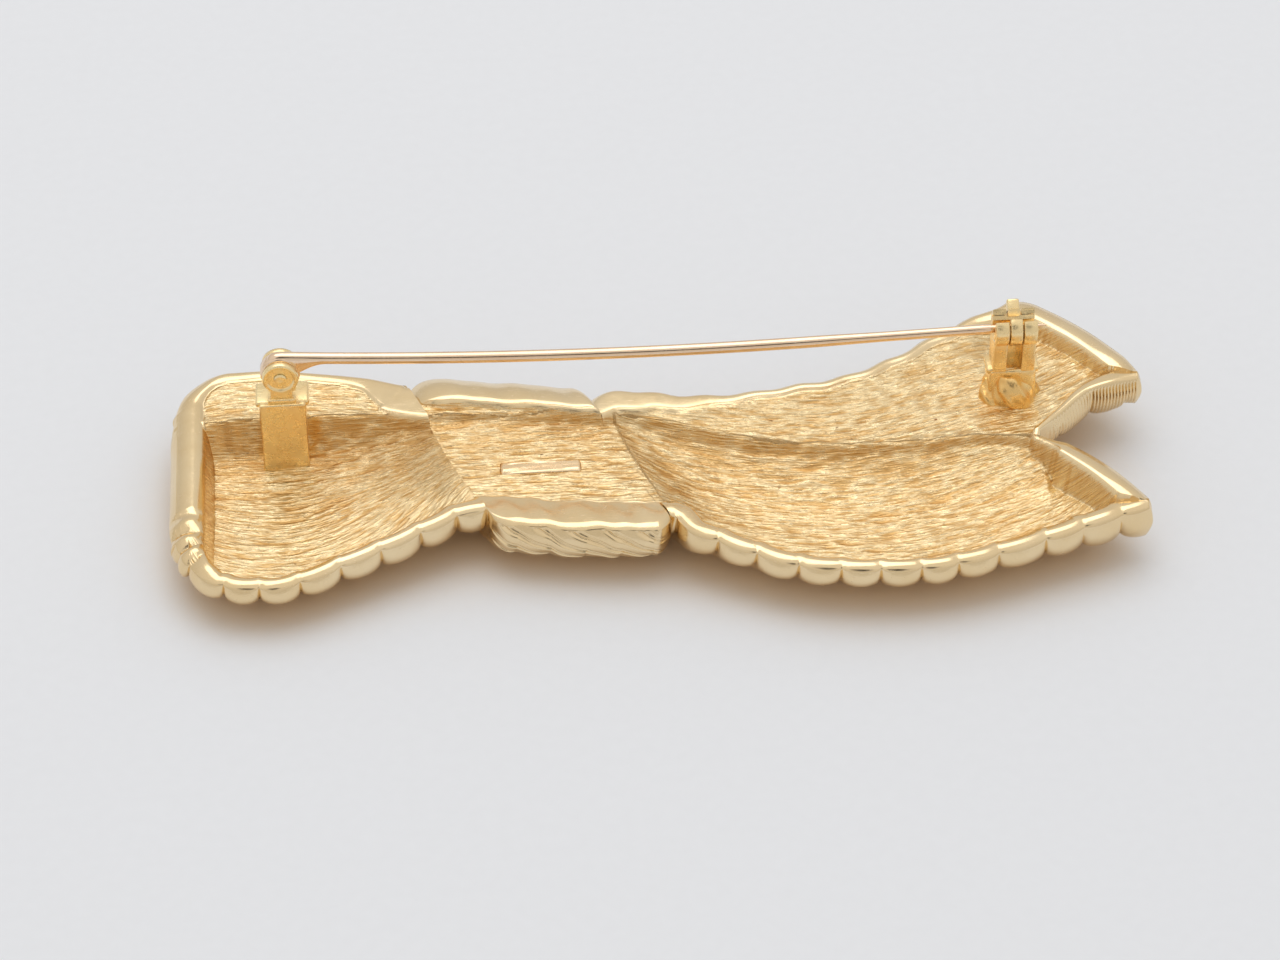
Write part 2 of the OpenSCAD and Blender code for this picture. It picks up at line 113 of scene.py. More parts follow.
FAR_EDGE = edge_rows(
    (-38.2, 10.2, 5.8, 3.0, 2.3), (-38.05, 11.3, 5.8, 3.0, 2.2),
    (-37.7, 12.2, 5.85, 2.9, 2.1), (-37.17, 13.0, 5.9, 2.8, 1.95),
    (-36.5, 13.65, 5.95, 2.7, 1.8), (-35.6, 14.2, 6.0, 2.6, 1.65),
    (-34.5, 14.53, 6.0, 2.5, 1.5), (-33.5, 14.6, 6.0, 2.5, 1.4),
    (-30.5, 14.6, 6.0, 2.5, 1.3), (-27.0, 14.0, 6.0, 2.5, 1.3),
    (-22.7, 12.9, 6.1, 2.6, 1.7), (-19.5, 11.6, 6.2, 2.8, 3.6),
    (-12.0, 10.3, 6.3, 3.1, 3.4), (-4.9, 9.3, 6.3, 3.0, 2.7),
    (-1.5, 9.5, 6.3, 2.8, 2.6), (3.5, 8.5, 6.3, 2.7, 2.0),
    (7.9, 8.5, 6.3, 2.7, 1.3), (11.7, 9.0, 6.4, 2.7, 1.2),
    (16.0, 9.8, 6.4, 2.7, 1.2), (20.3, 11.8, 6.4, 2.7, 1.2),
    (24.0, 14.1, 6.5, 2.7, 1.2), (28.0, 16.5, 6.6, 2.8, 1.4),
    (31.4, 18.1, 6.8, 3.0, 2.0))

NEAR_CUT = edge_rows(
    (31.4, 1.7, 6.0, 3.4, 0.7), (32.4, 1.1, 6.0, 3.4, 1.1), (33.6, 0.35, 6.1, 3.4, 1.8),
    (36.4, -2.8, 6.1, 3.4, 2.1), (38.6, -6.5, 6.0, 3.4, 2.0))

FAR_NOTCH = edge_rows(
    (31.4, 2.1, 6.0, 3.4, 0.7), (33.4, 3.9, 6.1, 3.6, 0.8), (35.8, 6.0, 6.4, 3.8, 1.1),
    (37.8, 6.7, 6.6, 3.8, 1.5), (40.3, 7.3, 6.6, 3.8, 1.8))

FAR_CUT = edge_rows(
    (31.4, 18.1, 6.8, 3.0, 2.0), (32.4, 18.0, 6.9, 3.4, 2.1), (33.6, 17.2, 7.0, 3.6, 2.2),
    (37.0, 13.7, 7.0, 3.8, 2.3), (39.5, 10.1, 6.9, 3.8, 2.2), (40.3, 8.3, 6.8, 3.8, 2.0))

# The fold that parts the low near layer from the high far layer
FOLD_LINE = (
    (-38.2, 8.4), (-32.0, 8.9), (-26.0, 8.7), (-18.0, 7.9), (-8.0, 7.1), (-1.0, 6.7),
    (4.0, 5.4), (9.0, 3.7), (14.0, 2.8), (19.0, 2.5), (24.0, 2.6), (27.0, 2.6), (31.4, 1.9))

# Each station runs straight from the near edge to the far edge: near x, far x
STATIONS = ((-38.2, -38.2), (-35.9, -35.9), (-13.6, -19.5), (0.9, -4.9), (16.0, 13.6), (31.4, 31.4))


class LayerRow(NamedTuple):
    """Heights across a station, by its near x, and how deep the steep part of the fold is."""

    x: float
    near_floor: float
    far_floor: float
    near_front: float
    far_front: float
    step: float


LAYERS = tuple(LayerRow(*row) for row in (
    (-38.2, 1.7, 5.3, 0.3, 0.4, 3.0), (-34.4, 1.5, 5.3, 0.0, 2.6, 3.1),
    (-27.0, 1.6, 5.4, 0.0, 2.6, 3.0), (-20.0, 2.4, 5.6, 0.3, 2.6, 2.4),
    (-17.0, 3.2, 5.7, 0.7, 2.5, 1.3), (-14.3, 4.4, 5.8, 1.1, 2.2, 0.7),
    (-13.6, 4.5, 5.8, 1.2, 2.0, 0.45), (-6.0, 4.5, 5.8, 1.2, 1.8, 0.45),
    (0.9, 4.45, 5.8, 1.2, 1.9, 0.45), (1.9, 4.35, 5.7, 1.1, 2.1, 0.6),
    (3.4, 3.5, 5.5, 0.7, 2.3, 0.9), (5.5, 2.6, 5.4, 0.3, 2.4, 1.3),
    (9.0, 1.9, 5.1, 0.0, 2.4, 1.3), (14.0, 1.7, 4.9, 0.0, 2.3, 1.1),
    (18.0, 1.6, 4.8, 0.0, 2.2, 0.9), (26.0, 1.9, 5.0, 0.0, 1.9, 0.8),
    (31.4, 2.6, 5.2, 0.3, 1.6, 0.8), (36.0, 3.4, 5.4, 0.7, 1.4, 0.8),
    (41.0, 4.0, 5.7, 1.0, 1.6, 0.8)))

# Valleys between the ribs, along the near edge; the first is on the turn of the near corner
SHORT_VALLEYS = (-37.98, -37.3, -34.5, -31.7, -28.4, -25.2, -22.0, -18.8, -15.9, -13.7, -11.5)
LONG_VALLEYS = (-1.8, 1.2, 4.2, 7.1, 10.3, 13.6, 16.7, 19.9, 22.9, 26.2, 30.1, 33.2, 36.4, 39.2)
# Valleys of the reeded wall on the notch side of the far tail
NOTCH_VALLEYS = (28.0, 32.0, 36.3, 40.9)
# Valleys on the straight end of the short tail, by y
END_VALLEYS = (-3.9, -1.9)
# Rib phase where the straight end meets the near corner
CORNER_PHASE = -0.5

START_X = STATIONS[0][0]
KNOT = (STATIONS[2][0], STATIONS[3][0])
NOTCH_X = STATIONS[5][0]


def ease(t: Array | float) -> Array:
    """Smooth step from 0 to 1."""
    c = np.clip(t, 0.0, 1.0)
    return c * c * (3 - 2 * c)


def mix(a: Array | float, b: Array | float, t: Array | float) -> Array:
    """Straight mix from a to b."""
    return a + (b - a) * t


def soft_max(a: Array, b: Array, width: float) -> Array:
    """The higher of two surfaces, with a fillet of about that width where they meet."""
    h = np.clip(0.5 + 0.5 * (a - b) / width, 0.0, 1.0)
    return mix(b, a, h) + width * h * (1 - h) * 0.5


def crest(phase: Array, blunt: float = 0.45) -> Array:
    """Height of a row of round ribs: 0 in each valley and 1 on each crest."""
    return np.power(np.maximum(0.0, np.sin(np.pi * (phase - np.floor(phase)))), blunt)


def phase_of(x: Array, valleys: Sequence[float]) -> Array:
    """Phase of a row of ribs at x: a whole number in each valley."""
    return np.interp(x, valleys, np.arange(len(valleys)))


def short_phase(x: Array) -> Array:
    """Phase of the short tail's ribs, the first of which wraps round the near corner."""
    return np.interp(x, [START_X, *SHORT_VALLEYS], [CORNER_PHASE, *range(len(SHORT_VALLEYS))])


def lattice(ix: Array, iy: Array, seed: int) -> Array:
    """A repeatable value from 0 to 1 for each lattice point."""
    h = (ix * 374761393 + iy * 668265263 + seed * 974634777) & 0xFFFFFFFF
    h = ((h ^ (h >> 13)) * 1274126177) & 0xFFFFFFFF
    return ((h ^ (h >> 16)) & 0xFFFF) / 65535.0


def patchy(u: Array, v: Array, seed: int) -> Array:
    """Smooth noise from 0 to 1 with one lattice cell to a unit of u and v."""
    iu, iv = np.floor(u).astype(np.int64), np.floor(v).astype(np.int64)
    fu, fv = ease(u - iu), ease(v - iv)
    low = mix(lattice(iu, iv, seed), lattice(iu + 1, iv, seed), fu)
    high = mix(lattice(iu, iv + 1, seed), lattice(iu + 1, iv + 1, seed), fu)
    return mix(low, high, fv)


def waves(u: Array, terms: Sequence[Triple]) -> Array:
    """A sum of sine waves, each with its height, pace and start."""
    return sum(high * np.sin(pace * u + start) for high, pace, start in terms)


def straight(x: float, ys: Array) -> Array:
    """Plan points on a line straight across the brooch."""
    return np.stack([np.full(len(ys), x), ys], axis=1)


class Curve:
    """A smooth curve through the rows of a table, read at any x."""

    def __init__(self, xs: Sequence[float], values: Sequence[float]) -> None:
        """Keeps the rows and the slope at each of them.

        Args:
            xs: Where the rows lie, rising.
            values: The value in each row.
        """
        self.x = np.array(xs, float)
        self.v = np.array(values, float)
        before = np.maximum(np.arange(len(xs)) - 1, 0)
        after = np.minimum(np.arange(len(xs)) + 1, len(xs) - 1)
        self.slope = (self.v[after] - self.v[before]) / (self.x[after] - self.x[before])

    def __call__(self, x: Array | float) -> Array:
        """The value at x."""
        i = np.clip(np.searchsorted(self.x, x, side="right") - 1, 0, len(self.x) - 2)
        h = self.x[i + 1] - self.x[i]
        t = (x - self.x[i]) / h
        return (self.v[i] * (2 * t**3 - 3 * t**2 + 1) + self.v[i + 1] * (3 * t**2 - 2 * t**3)
                + h * self.slope[i] * (t**3 - 2 * t**2 + t) + h * self.slope[i + 1] * (t**3 - t**2))


class Edge:
    """An outer edge of the ribbon: its plan line and the sizes of its lip and wall along it."""

    probe = 0.05

    def __init__(self, rows: Sequence[EdgeRow], side: float) -> None:
        """Makes a curve of each column.

        Args:
            rows: The rows of the table.
            side: +1 where the outside is on the far side, -1 where it is on the near side.
        """
        xs = [row.x for row in rows]
        self.line = Curve(xs, [row.y for row in rows])
        self.rim = Curve(xs, [row.rim for row in rows])
        self.wall = Curve(xs, [row.wall for row in rows])
        self.lip = Curve(xs, [row.lip for row in rows])
        self.side = side
        self.ends = (xs[0], xs[-1])

    def foot(self, x: Array) -> Array:
        """Height of the foot of the wall at x."""
        return self.rim(x) - self.wall(x)

    def outward(self, x: Array) -> Array:
        """Unit plan vectors out of the brooch at x."""
        high, low = np.minimum(x + self.probe, self.ends[1]), np.maximum(x - self.probe, self.ends[0])
        run = (self.line(high) - self.line(low)) / (high - low)
        normal = np.stack([-run, np.ones_like(run)], axis=-1) * self.side
        return normal / np.linalg.norm(normal, axis=-1, keepdims=True)

    def place(self, x: Array, out: Array | float) -> Array:
        """Plan points on the edge, moved out of the brooch.

        Args:
            x: Where along the edge.
            out: How far out.

        Returns:
            One row of x and y for each point.
        """
        return np.stack([x, self.line(x)], axis=1) + self.outward(x) * np.reshape(out, (-1, 1))


class LipForm(NamedTuple):
    """How a lip is rounded: its outer roll, that roll's drop, the fall of the rest, its inner bead."""

    roll: float
    drop: float
    tilt: float
    bead: float


TAIL_LIP = LipForm(0.62, 0.3, 0.3, 0.0)
FAR_LIP = LipForm(0.6, 0.3, 0.1, 0.0)
END_LIP = LipForm(1.25, 0.62, 0.4, 0.0)
CUT_LIP = LipForm(1.6, 0.5, 0.08, 0.0)
SEAM_LIP = LipForm(1.6, 0.8, 0.1, 0.0)
NOTCH_LIP = LipForm(0.25, 0.1, 0.2, 0.0)
NEAR_BAND_LIP = LipForm(0.7, 0.3, 0.35, 0.15)
FAR_BAND_LIP = LipForm(3.5, 1.15, 0.15, 0.04)


def blend_form(a: LipForm, b: LipForm, t: Array | float) -> Array:
    """Four columns that go from one lip form to another."""
    t = np.reshape(t, (-1, 1))
    return mix(np.array(a)[None], np.array(b)[None], t)


class Outline:
    """Dense samples of the outer edges, to find how far in from them a point lies."""

    names = ("rim", "lip", "roll", "drop", "tilt", "bead", "phase", "groove")
    corner = 0.1
    inner_slope = 7.0
    valley_blunt = 0.8
    valley_end = (0.2, 1.5)
    bead_run = (0.5, 0.4)

    def __init__(self) -> None:
        """Starts with no samples."""
        self.rows: list[Array] = []
        self.tree: KDTree | None = None

    def add(self, xy: Array, rim: Array | float, lip: Array | float, form: Array,
            phase: Array | float = 0.5, groove: Array | float = 0.0) -> None:
        """Adds one run of samples.

        Args:
            xy: Plan places.
            rim: Lip heights.
            lip: Lip widths.
            form: Four columns of lip form, one row or one row a sample.
            phase: Rib phase at each sample.
            groove: How deep the valleys between ribs cut across the lip.
        """
        ones = np.ones(len(xy))
        four = np.broadcast_to(form, (len(xy), 4))
        columns_ = [xy[:, 0], xy[:, 1], rim * ones, lip * ones, *four.T, phase * ones, groove * ones]
        self.rows.append(np.stack(columns_, axis=1))

    def measure(self, xy: Array) -> dict[str, Array]:
        """Distance to the nearest sample, and what that sample says.

        Args:
            xy: Plan points, as rows.

        Returns:
            Arrays named d, rim, lip, roll, drop, tilt, bead, phase and groove.
        """
        table = np.concatenate(self.rows)
        if self.tree is None:
            self.tree = KDTree(len(table))
            for i, row in enumerate(table):
                self.tree.insert((row[0], row[1], 0.0), i)
            self.tree.balance()
        found = [self.tree.find((x, y, 0.0))[1:] for x, y in xy.tolist()]
        index = np.array([f[0] for f in found])
        said = {name: table[index, 2 + k] for k, name in enumerate(self.names)}
        said["d"] = np.array([f[1] for f in found])
        return said

    def lip_height(self, said: dict[str, Array]) -> Array:
        """Height of the lip, which goes on falling steeply inside it."""
        c = np.clip(1 - said["d"] / said["roll"], 0.0, 1.0)
        outer = said["drop"] * c**2
        across = np.clip((said["d"] - said["roll"]) / np.maximum(said["lip"] - said["roll"], 0.1), 0.0, 1.0)
        past = np.clip((said["d"] - said["lip"]) / self.corner, -30.0, 60.0)
        fall = self.corner * np.logaddexp(0.0, past) * self.inner_slope
        inside = said["d"] - said["lip"]
        valley = 1 - crest(said["phase"], self.valley_blunt)
        cut = said["groove"] * valley * ease((self.valley_end[0] - inside) / self.valley_end[1])
        bead = said["bead"] * ease((inside + self.bead_run[0]) / self.bead_run[1])
        return said["rim"] - outer - said["tilt"] * across**1.5 - cut - fall + bead


@dataclass(frozen=True)
class Grain:
    """The torn, combed texture of the hollow: ridges that follow the ribbon's length.

    The sizes of patches are along and across the ridges; those of torn_size are in lengths and pitches.
    """

    pitch: float = 0.31
    length: float = 1.9
    fine: float = 0.16
    coarse: float = 0.08
    lumps: float = 0.07
    wander_size: tuple[float, float] = (5.0, 2.5)
    torn_size: tuple[float, float] = (1.5, 2.3)
    lump_size: tuple[float, float] = (3.2, 1.3)
    pimple_size: tuple[float, float] = (1.1, 0.7)
    pimple_share: float = 0.6

    def height(self, along: Array, across: Array) -> Array:
        """Height of the texture, about zero on average.

        Args:
            along: Distance along the ridges.
            across: Distance across them.

        Returns:
            The height.
        """
        wander = patchy(along / self.wander_size[0], across / self.wander_size[1], 28)
        comb = patchy(along / self.length, across / self.pitch + wander, 23)
        comb = 1 - np.abs(2 * comb - 1)
        torn = patchy(along / (self.torn_size[0] * self.length),
                      across / (self.torn_size[1] * self.pitch) + wander, 24)
        pimple = patchy(along / self.pimple_size[0], across / self.pimple_size[1], 26)
        lump = patchy(along / self.lump_size[0], across / self.lump_size[1], 25) + self.pimple_share * pimple
        return self.fine * (comb - 0.6) + self.coarse * (torn - 0.5) + self.lumps * (lump - 0.8)


class Sections(NamedTuple):
    """Closed cross sections of one stretch of the ribbon: stations by points by seven values.

    The values are x, y, z, how rough the skin is, the distances along and across its grain, and its relief,
    which sets how much painted shade darkens the hollow's colour.
    """

    back: Array
    far_wall: Array
    front: Array
    near_wall: Array

    def loops(self) -> Array:
        """Each section as one closed loop that ends on its first point."""
        front, near_wall = self.front[:, ::-1], self.near_wall[:, ::-1]
        ring = np.concatenate([self.back, self.far_wall, front, near_wall], axis=1)
        return np.concatenate([ring, ring[:, :1]], axis=1)

    def at(self, station: int) -> Sections:
        """One station."""
        return Sections(*(part[[station]] for part in self))


def joined(*stretches: Sections) -> Sections:
    """Stretches one after the other."""
    return Sections(*(np.concatenate(parts) for parts in zip(*stretches)))


def columns(marks: Sequence[Array], counts: Sequence[int]) -> Array:
    """Distances across each station, evenly spaced between marks.

    Args:
        marks: One array of distances for each mark, a value for each station.
        counts: How many cells lie between one mark and the next.

    Returns:
        An array of stations by points.
    """
    pieces = [mix(a[:, None], b[:, None], np.arange(n)[None] / n)
              for a, b, n in zip(marks, marks[1:], counts)]
    return np.concatenate([*pieces, marks[-1][:, None]], axis=1)


def rib_stations(valleys: Sequence[float], low: float, high: float, cells: int) -> Array:
    """Stations that crowd a little at each valley.

    Args:
        valleys: Where the valleys lie.
        low: First station.
        high: Last station.
        cells: Cells in one rib.

    Returns:
        Rising stations, low and high among them.
    """
    t = np.arange(cells) / cells
    t = mix(t, 0.5 - 0.5 * np.cos(np.pi * t), 0.5)
    marks = [low, *(v for v in valleys if low < v < high), high]
    return np.concatenate([*(a + (b - a) * t for a, b in zip(marks, marks[1:])), [high]])


def lay_grid(bm: Mesh, points: Array) -> None:
    """Makes a grid and moves its vertices to the given points.

    Args:
        bm: The mesh to add to.
        points: Rows by columns by seven values, as in Sections.
    """
    rows, cols = points.shape[:2]
    hollow = bm.verts.layers.float["hollow"]
    flow = bm.verts.layers.float_vector["flow"]
    made = bmesh.ops.create_grid(bm, x_segments=rows - 1, y_segments=cols - 1, size=0.5)["verts"]
    flat = points.transpose(1, 0, 2).reshape(-1, points.shape[2])
    for vert, values in zip(made, flat.tolist()):
        vert.co = values[:3]
        vert[hollow] = values[3]
        vert[flow] = values[4:]


def new_bmesh() -> Mesh:
    """An empty mesh with the attributes that the cast finish reads."""
    bm = bmesh.new()
    bm.verts.layers.float.new("hollow")
    bm.verts.layers.float_vector.new("flow")
    return bm


def make_piece(name: str, bm: Mesh, sharp_deg: float = 180.0) -> bpy.types.Object:
    """Turns a bmesh into an object at the origin, in the frame's metres.

    Args:
        name: The piece's name.
        bm: Its mesh, in the drawing's millimetres, which is freed.
        sharp_deg: Edges bent more than this stay sharp.

    Returns:
        The new object.
    """
    bmesh.ops.remove_doubles(bm, verts=bm.verts[:], dist=WELD)
    bmesh.ops.recalc_face_normals(bm, faces=bm.faces[:])
    bmesh.ops.translate(bm, verts=bm.verts[:], vec=(-PLAN_MID[0], -PLAN_MID[1], 0.0))
    bmesh.ops.scale(bm, verts=bm.verts[:], vec=(MM, MM, MM))
    limit = math.radians(sharp_deg)
    for face in bm.faces:
        face.smooth = True
    for edge in bm.edges:
        edge.smooth = not (edge.is_manifold and edge.calc_face_angle(0.0) > limit)
    open_edges = sum(not edge.is_manifold for edge in bm.edges)
    LOG.info("%s: %d faces, %d open edges", name, len(bm.faces), open_edges)
    mesh = bpy.data.meshes.new(name)
    bm.to_mesh(mesh)
    bm.free()
    piece = bpy.data.objects.new(name, mesh)
    bpy.context.scene.collection.objects.link(piece)
    return piece


@dataclass
class Casting:
    """The cast ribbon: what its three stretches share."""

    grain: Grain = field(default_factory=Grain)
    wall_cells: int = 15
    front_share: int = 5
    scallop: float = 0.24
    far_scallop: float = 0.24
    wall_swell: float = 0.02
    rib_swell: float = 0.34
    rib_depth: float = 0.5
    foot_rise: float = 0.25
    turn_w: float = 5.0
    turn_in: float = 1.0
    fold_cell: float = 0.1
    notch_cell: float = 0.4
    fold_lip: float = 0.14
    step_run: float = 0.25
    step_slant: float = 0.3
    foot_run: float = 5.0
    ridge: float = 0.09
    lip_gap: float = 0.8
    thinnest: float = 0.3
    sharp_deg: float = 72.0
    seam_run: float = 1.9
    seam_in: float = 0.45
    sample: float = 0.04
    corner_finer: float = 12.0
    corner_run: float = 2.0
    near_turn: tuple[float, float] = (-37.6, 3.2)
    far_turn: tuple[float, float] = (-37.0, 3.0)
    far_blunt: float = 2.0
    valley_cut: float = 0.06
    corner_cut: float = 0.42
    end_cut: float = 0.48
    end_cut_run: float = 1.4
    tip_run: tuple[float, float] = (2.2, 1.8)
    step_waver: float = 0.3
    seam_w: float = 0.3
    rough_run: tuple[float, float] = (0.22, 0.3)
    steep_smooth: float = 0.35
    under_lip: float = 1.6
    under_lip_run: tuple[float, float] = (0.25, 0.9)
    fillet: float = 0.18
    # Painted shade: how much the relief value, and so the hollow's colour, darkens beside the fold's step
    # and in the grain's low spots.
    step_shade: tuple[float, float] = (0.25, 0.5)
    shade_run: float = 9.0
    relief_mid: float = 0.62
    relief_span: float = 0.2

    def __post_init__(self) -> None:
        """Makes the edges and samples them."""
        self.near = Edge(NEAR_EDGE, -1.0)
        self.far = Edge(FAR_EDGE, 1.0)
        self.near_cut = Edge(NEAR_CUT, 1.0)
        self.notch = Edge(FAR_NOTCH, -1.0)
        self.far_cut = Edge(FAR_CUT, 1.0)
        self.fold = Curve([row[0] for row in FOLD_LINE], [row[1] for row in FOLD_LINE])
        self.outline = self.sample_outline()

    def spread(self, low: float, high: float, finer: float = 1.0) -> Array:
        """Places for samples from low to high."""
        return np.linspace(low, high, int((high - low) / self.sample * finer) + 2)

    def sample_outline(self) -> Outline:
        """Samples the whole outside of both tails, with the waist that runs on under the knot."""
        outline = Outline()
        bend_end = START_X + self.corner_run
        for xs in (self.spread(START_X, bend_end, self.corner_finer), self.spread(bend_end, KNOT[0])):
            fade = 1 - ease((xs - self.near_turn[0]) / self.near_turn[1])
            phase = short_phase(xs)
            inward = -self.scallop * (1 - fade) * (1 - crest(phase))
            outline.add(self.near.place(xs, inward), self.near.rim(xs), self.near.lip(xs),
                        blend_form(TAIL_LIP, END_LIP, fade), phase, self.valley_cut + self.corner_cut * fade)
            fade = 1 - ease((xs - self.far_turn[0]) / self.far_turn[1])
            outline.add(self.far.place(xs, 0.0), self.far.rim(xs), self.far.lip(xs),
                        blend_form(FAR_LIP, END_LIP, fade))
        xs = self.spread(KNOT[0], self.near.ends[1])
        phase = phase_of(xs, LONG_VALLEYS)
        near = self.near.place(xs, -self.scallop * (1 - crest(phase))) + self.pull(xs)
        outline.add(near, self.near.rim(xs), self.near.lip(xs), np.array([TAIL_LIP]), phase, self.valley_cut)
        xs = self.spread(KNOT[0], NOTCH_X)
        phase, xf = phase_of(xs, LONG_VALLEYS), far_x(xs)
        far = self.far.place(xf, -self.far_scallop * (1 - crest(phase, self.far_blunt))) - self.pull(xs)
        outline.add(far, self.far.rim(xf), self.far.lip(xf),
                    blend_form(FAR_LIP, SEAM_LIP, self.seam(xs)), phase)
        for edge, form in ((self.near_cut, CUT_LIP), (self.notch, NOTCH_LIP), (self.far_cut, CUT_LIP)):
            xs = self.spread(*edge.ends, 2.0)
            tip = ease((xs - edge.ends[1] + self.tip_run[0]) / self.tip_run[1])
            outline.add(edge.place(xs, 0.0), edge.rim(xs), edge.lip(xs),
                        blend_form(form, TAIL_LIP, 0.5 * tip))
        ys = self.spread(NEAR_CUT[0].y, FAR_NOTCH[0].y)
        outline.add(straight(NOTCH_X, ys), FAR_NOTCH[0].rim, FAR_NOTCH[0].lip, np.array([CUT_LIP]))
        self.sample_end(outline)
        return outline

    def seam(self, u: Array) -> Array:
        """1 where the long stretch starts at the knot and 0 where its edges reach their full width."""
        t = np.clip((u - KNOT[1]) / self.seam_run, 0.0, 1.0)
        return np.where(u < KNOT[1], 0.0, (1 - t) ** 3)

    def left_seam(self, u: Array) -> Array:
        """1 where the short tail meets the knot and 0 away from there."""
        return np.exp(-((u - KNOT[0]) / self.seam_w) ** 2)

    def across(self, u: Array) -> Array:
        """Unit plan vectors along each station, from the near edge to the far one."""
        line = self.far.place(far_x(u), 0.0) - self.near.place(u, 0.0)
        return line / np.linalg.norm(line, axis=1, keepdims=True)

    def pull(self, u: Array) -> Array:
        """How the near edge is drawn in at the knot, as plan vectors; the far edge has the opposite."""
        return self.across(u) * (self.seam(u) * self.seam_in)[:, None]

    def sample_end(self, outline: Outline) -> None:
        """Samples the straight end of the short tail."""
        ys = self.spread(NEAR_EDGE[0].y, FAR_EDGE[0].y)
        t = (ys - ys[0]) / (ys[-1] - ys[0])
        ribbed = ease((END_VALLEYS[1] + 0.5 - ys) / self.end_cut_run)
        outline.add(straight(START_X, ys), mix(NEAR_EDGE[0].rim, FAR_EDGE[0].rim, t), NEAR_EDGE[0].lip,
                    np.array([END_LIP]), self.end_phase(ys), self.end_cut * ribbed)

    @staticmethod
    def end_phase(y: Array) -> Array:
        """Rib phase down the straight end, which joins the near edge's at the corner."""
        return np.interp(y, [NEAR_EDGE[0].y, END_VALLEYS[0], END_VALLEYS[1], END_VALLEYS[1] + 2.5],
                         [CORNER_PHASE, -1.0, -2.0, -2.5])

    def fold_at(self, near: Array, far: Array) -> Array:
        """Distance from the near edge to the fold, along each station."""
        width = np.linalg.norm(far - near, axis=1)
        y = self.fold(mix(near[:, 0], far[:, 0], 0.7))
        return (y - near[:, 1]) / (far[:, 1] - near[:, 1]) * width

    def run(self, u: Array) -> Array:
        """How far the steep part of the fold reaches across the station."""
        return self.step_run + self.step_slant * level(u, "step")

    def floor(self, u: Array, s: Array, along: Array,
              lean: Array | float = 0.0) -> Array:
        """Height of the hollow before its combed texture and its lips.

        Args:
            u: Near x of the station.
            s: Distance past the fold, negative on the near side.
            along: Distance along the grain.
            lean: How far the far layer has risen towards its lip.

        Returns:
            The height.
        """
        near, far, step = level(u, "near_floor"), level(u, "far_floor"), level(u, "step")
        wide, close = patchy(along / 1.7, 0 * s, 41) - 0.5, patchy(along / 0.8, s / 0.3, 43) - 0.5
        s = s + self.step_waver * wide + self.step_waver * close
        torn = self.fold_lip * (0.4 + 1.6 * patchy(along / 0.9, 0 * s, 47))
        top = far + lean + torn * np.exp(-((s - 0.2) / 0.35) ** 2)
        back = s + self.run(u)
        foot = np.maximum(far - step - near, 0.0) * np.clip(1 + back / self.foot_run, 0.0, 1.0) ** 2
        ridge = self.ridge * self.left_seam(u) * patchy(s / 0.5, 0 * s, 53)
        return np.where(s > 0, top, mix(top, near + foot + ridge, ease(1 - back / self.run(u))))

    def flow(self, u: Array, s: Array, xy: Array) -> tuple[Array, Array]:
        """Distances along and across the grain of the hollow.

        Args:
            u: Near x of the station.
            s: Distance past the fold.
            xy: Plan places.

        Returns:
            Distance along the ridges and distance across them.
        """
        x, y = xy[..., 0], xy[..., 1]
        smile = np.where(x < -30.5, 0.054, 0.048) * (x + 30.5) ** 2 * ease(-s / 9.0)
        fan = 0.014 * (x - 15.0) ** 2 + 0.06 * np.maximum(x - 31.0, 0.0) ** 2
        near = y - np.where(u < KNOT[0], smile, np.where(u > KNOT[1] + 1.0, fan, 0.0))
        inner = np.clip(x, START_X, NOTCH_X)
        far = y - 0.5 * (self.fold(inner) + self.far.line(inner)) - 0.55 * np.maximum(x - NOTCH_X, 0.0)
        return x + 0.3 * y, np.where(s > 0, far + 40.0, near)

    def back_surface(self, u: Array, near: Array, far: Array, d: Array,
                     s: Array, lean: Array | float = 0.0,
                     band: dict[str, Array] | None = None) -> Array:
        """Points of the hollow side.

        Args:
            u: Near x of each station.
            near: Plan point of each station on the near edge.
            far: The same on the far edge.
            d: Distances across each station.
            s: Distances past the fold.
            lean: How far the far layer has risen towards its lip.
            band: What Outline.measure gives, where it isn't taken from the tails' outline.

        Returns:
            Stations by points by seven values.
        """
        w = np.linalg.norm(far - near, axis=1)
        xy = near[:, None] + (far - near)[:, None] * (d / w[:, None])[..., None]
        said = band or {k: v.reshape(d.shape) for k, v in self.outline.measure(xy.reshape(-1, 2)).items()}
        uu = np.broadcast_to(u[:, None], d.shape)
        along, across = self.flow(uu, s, xy)
        rough = ease((said["d"] - said["lip"] + self.rough_run[0]) / self.rough_run[1])
        half = self.run(uu) / 2
        steep = self.steep_smooth * np.exp(-((s + half) / half) ** 2)
        grain = self.grain.height(along, across) * (1 - steep) * (1 - self.left_seam(uu)) * rough
        sink = ease((said["lip"] - said["d"] - self.under_lip_run[0]) / self.under_lip_run[1])
        floor = self.floor(uu, s, along, lean) + grain - self.under_lip * sink
        z = soft_max(self.outline.lip_height(said), floor, self.fillet)
        # Painted shade: the seventh value, read by the cast finish, is lowered on the near side of the
        # fold's step and in low spots of the grain, which darkens the hollow's colour there.
        left = ease((KNOT[0] + self.seam_w - uu) / (2 * self.seam_w))
        shade = ease(1 + s / self.shade_run) * mix(*self.step_shade, left) * (s < 0)
        depth = np.clip(self.relief_mid + grain / self.relief_span - shade, 0.0, 1.0)
        return np.stack([xy[..., 0], xy[..., 1], z, rough, along, across + z, depth], axis=2)

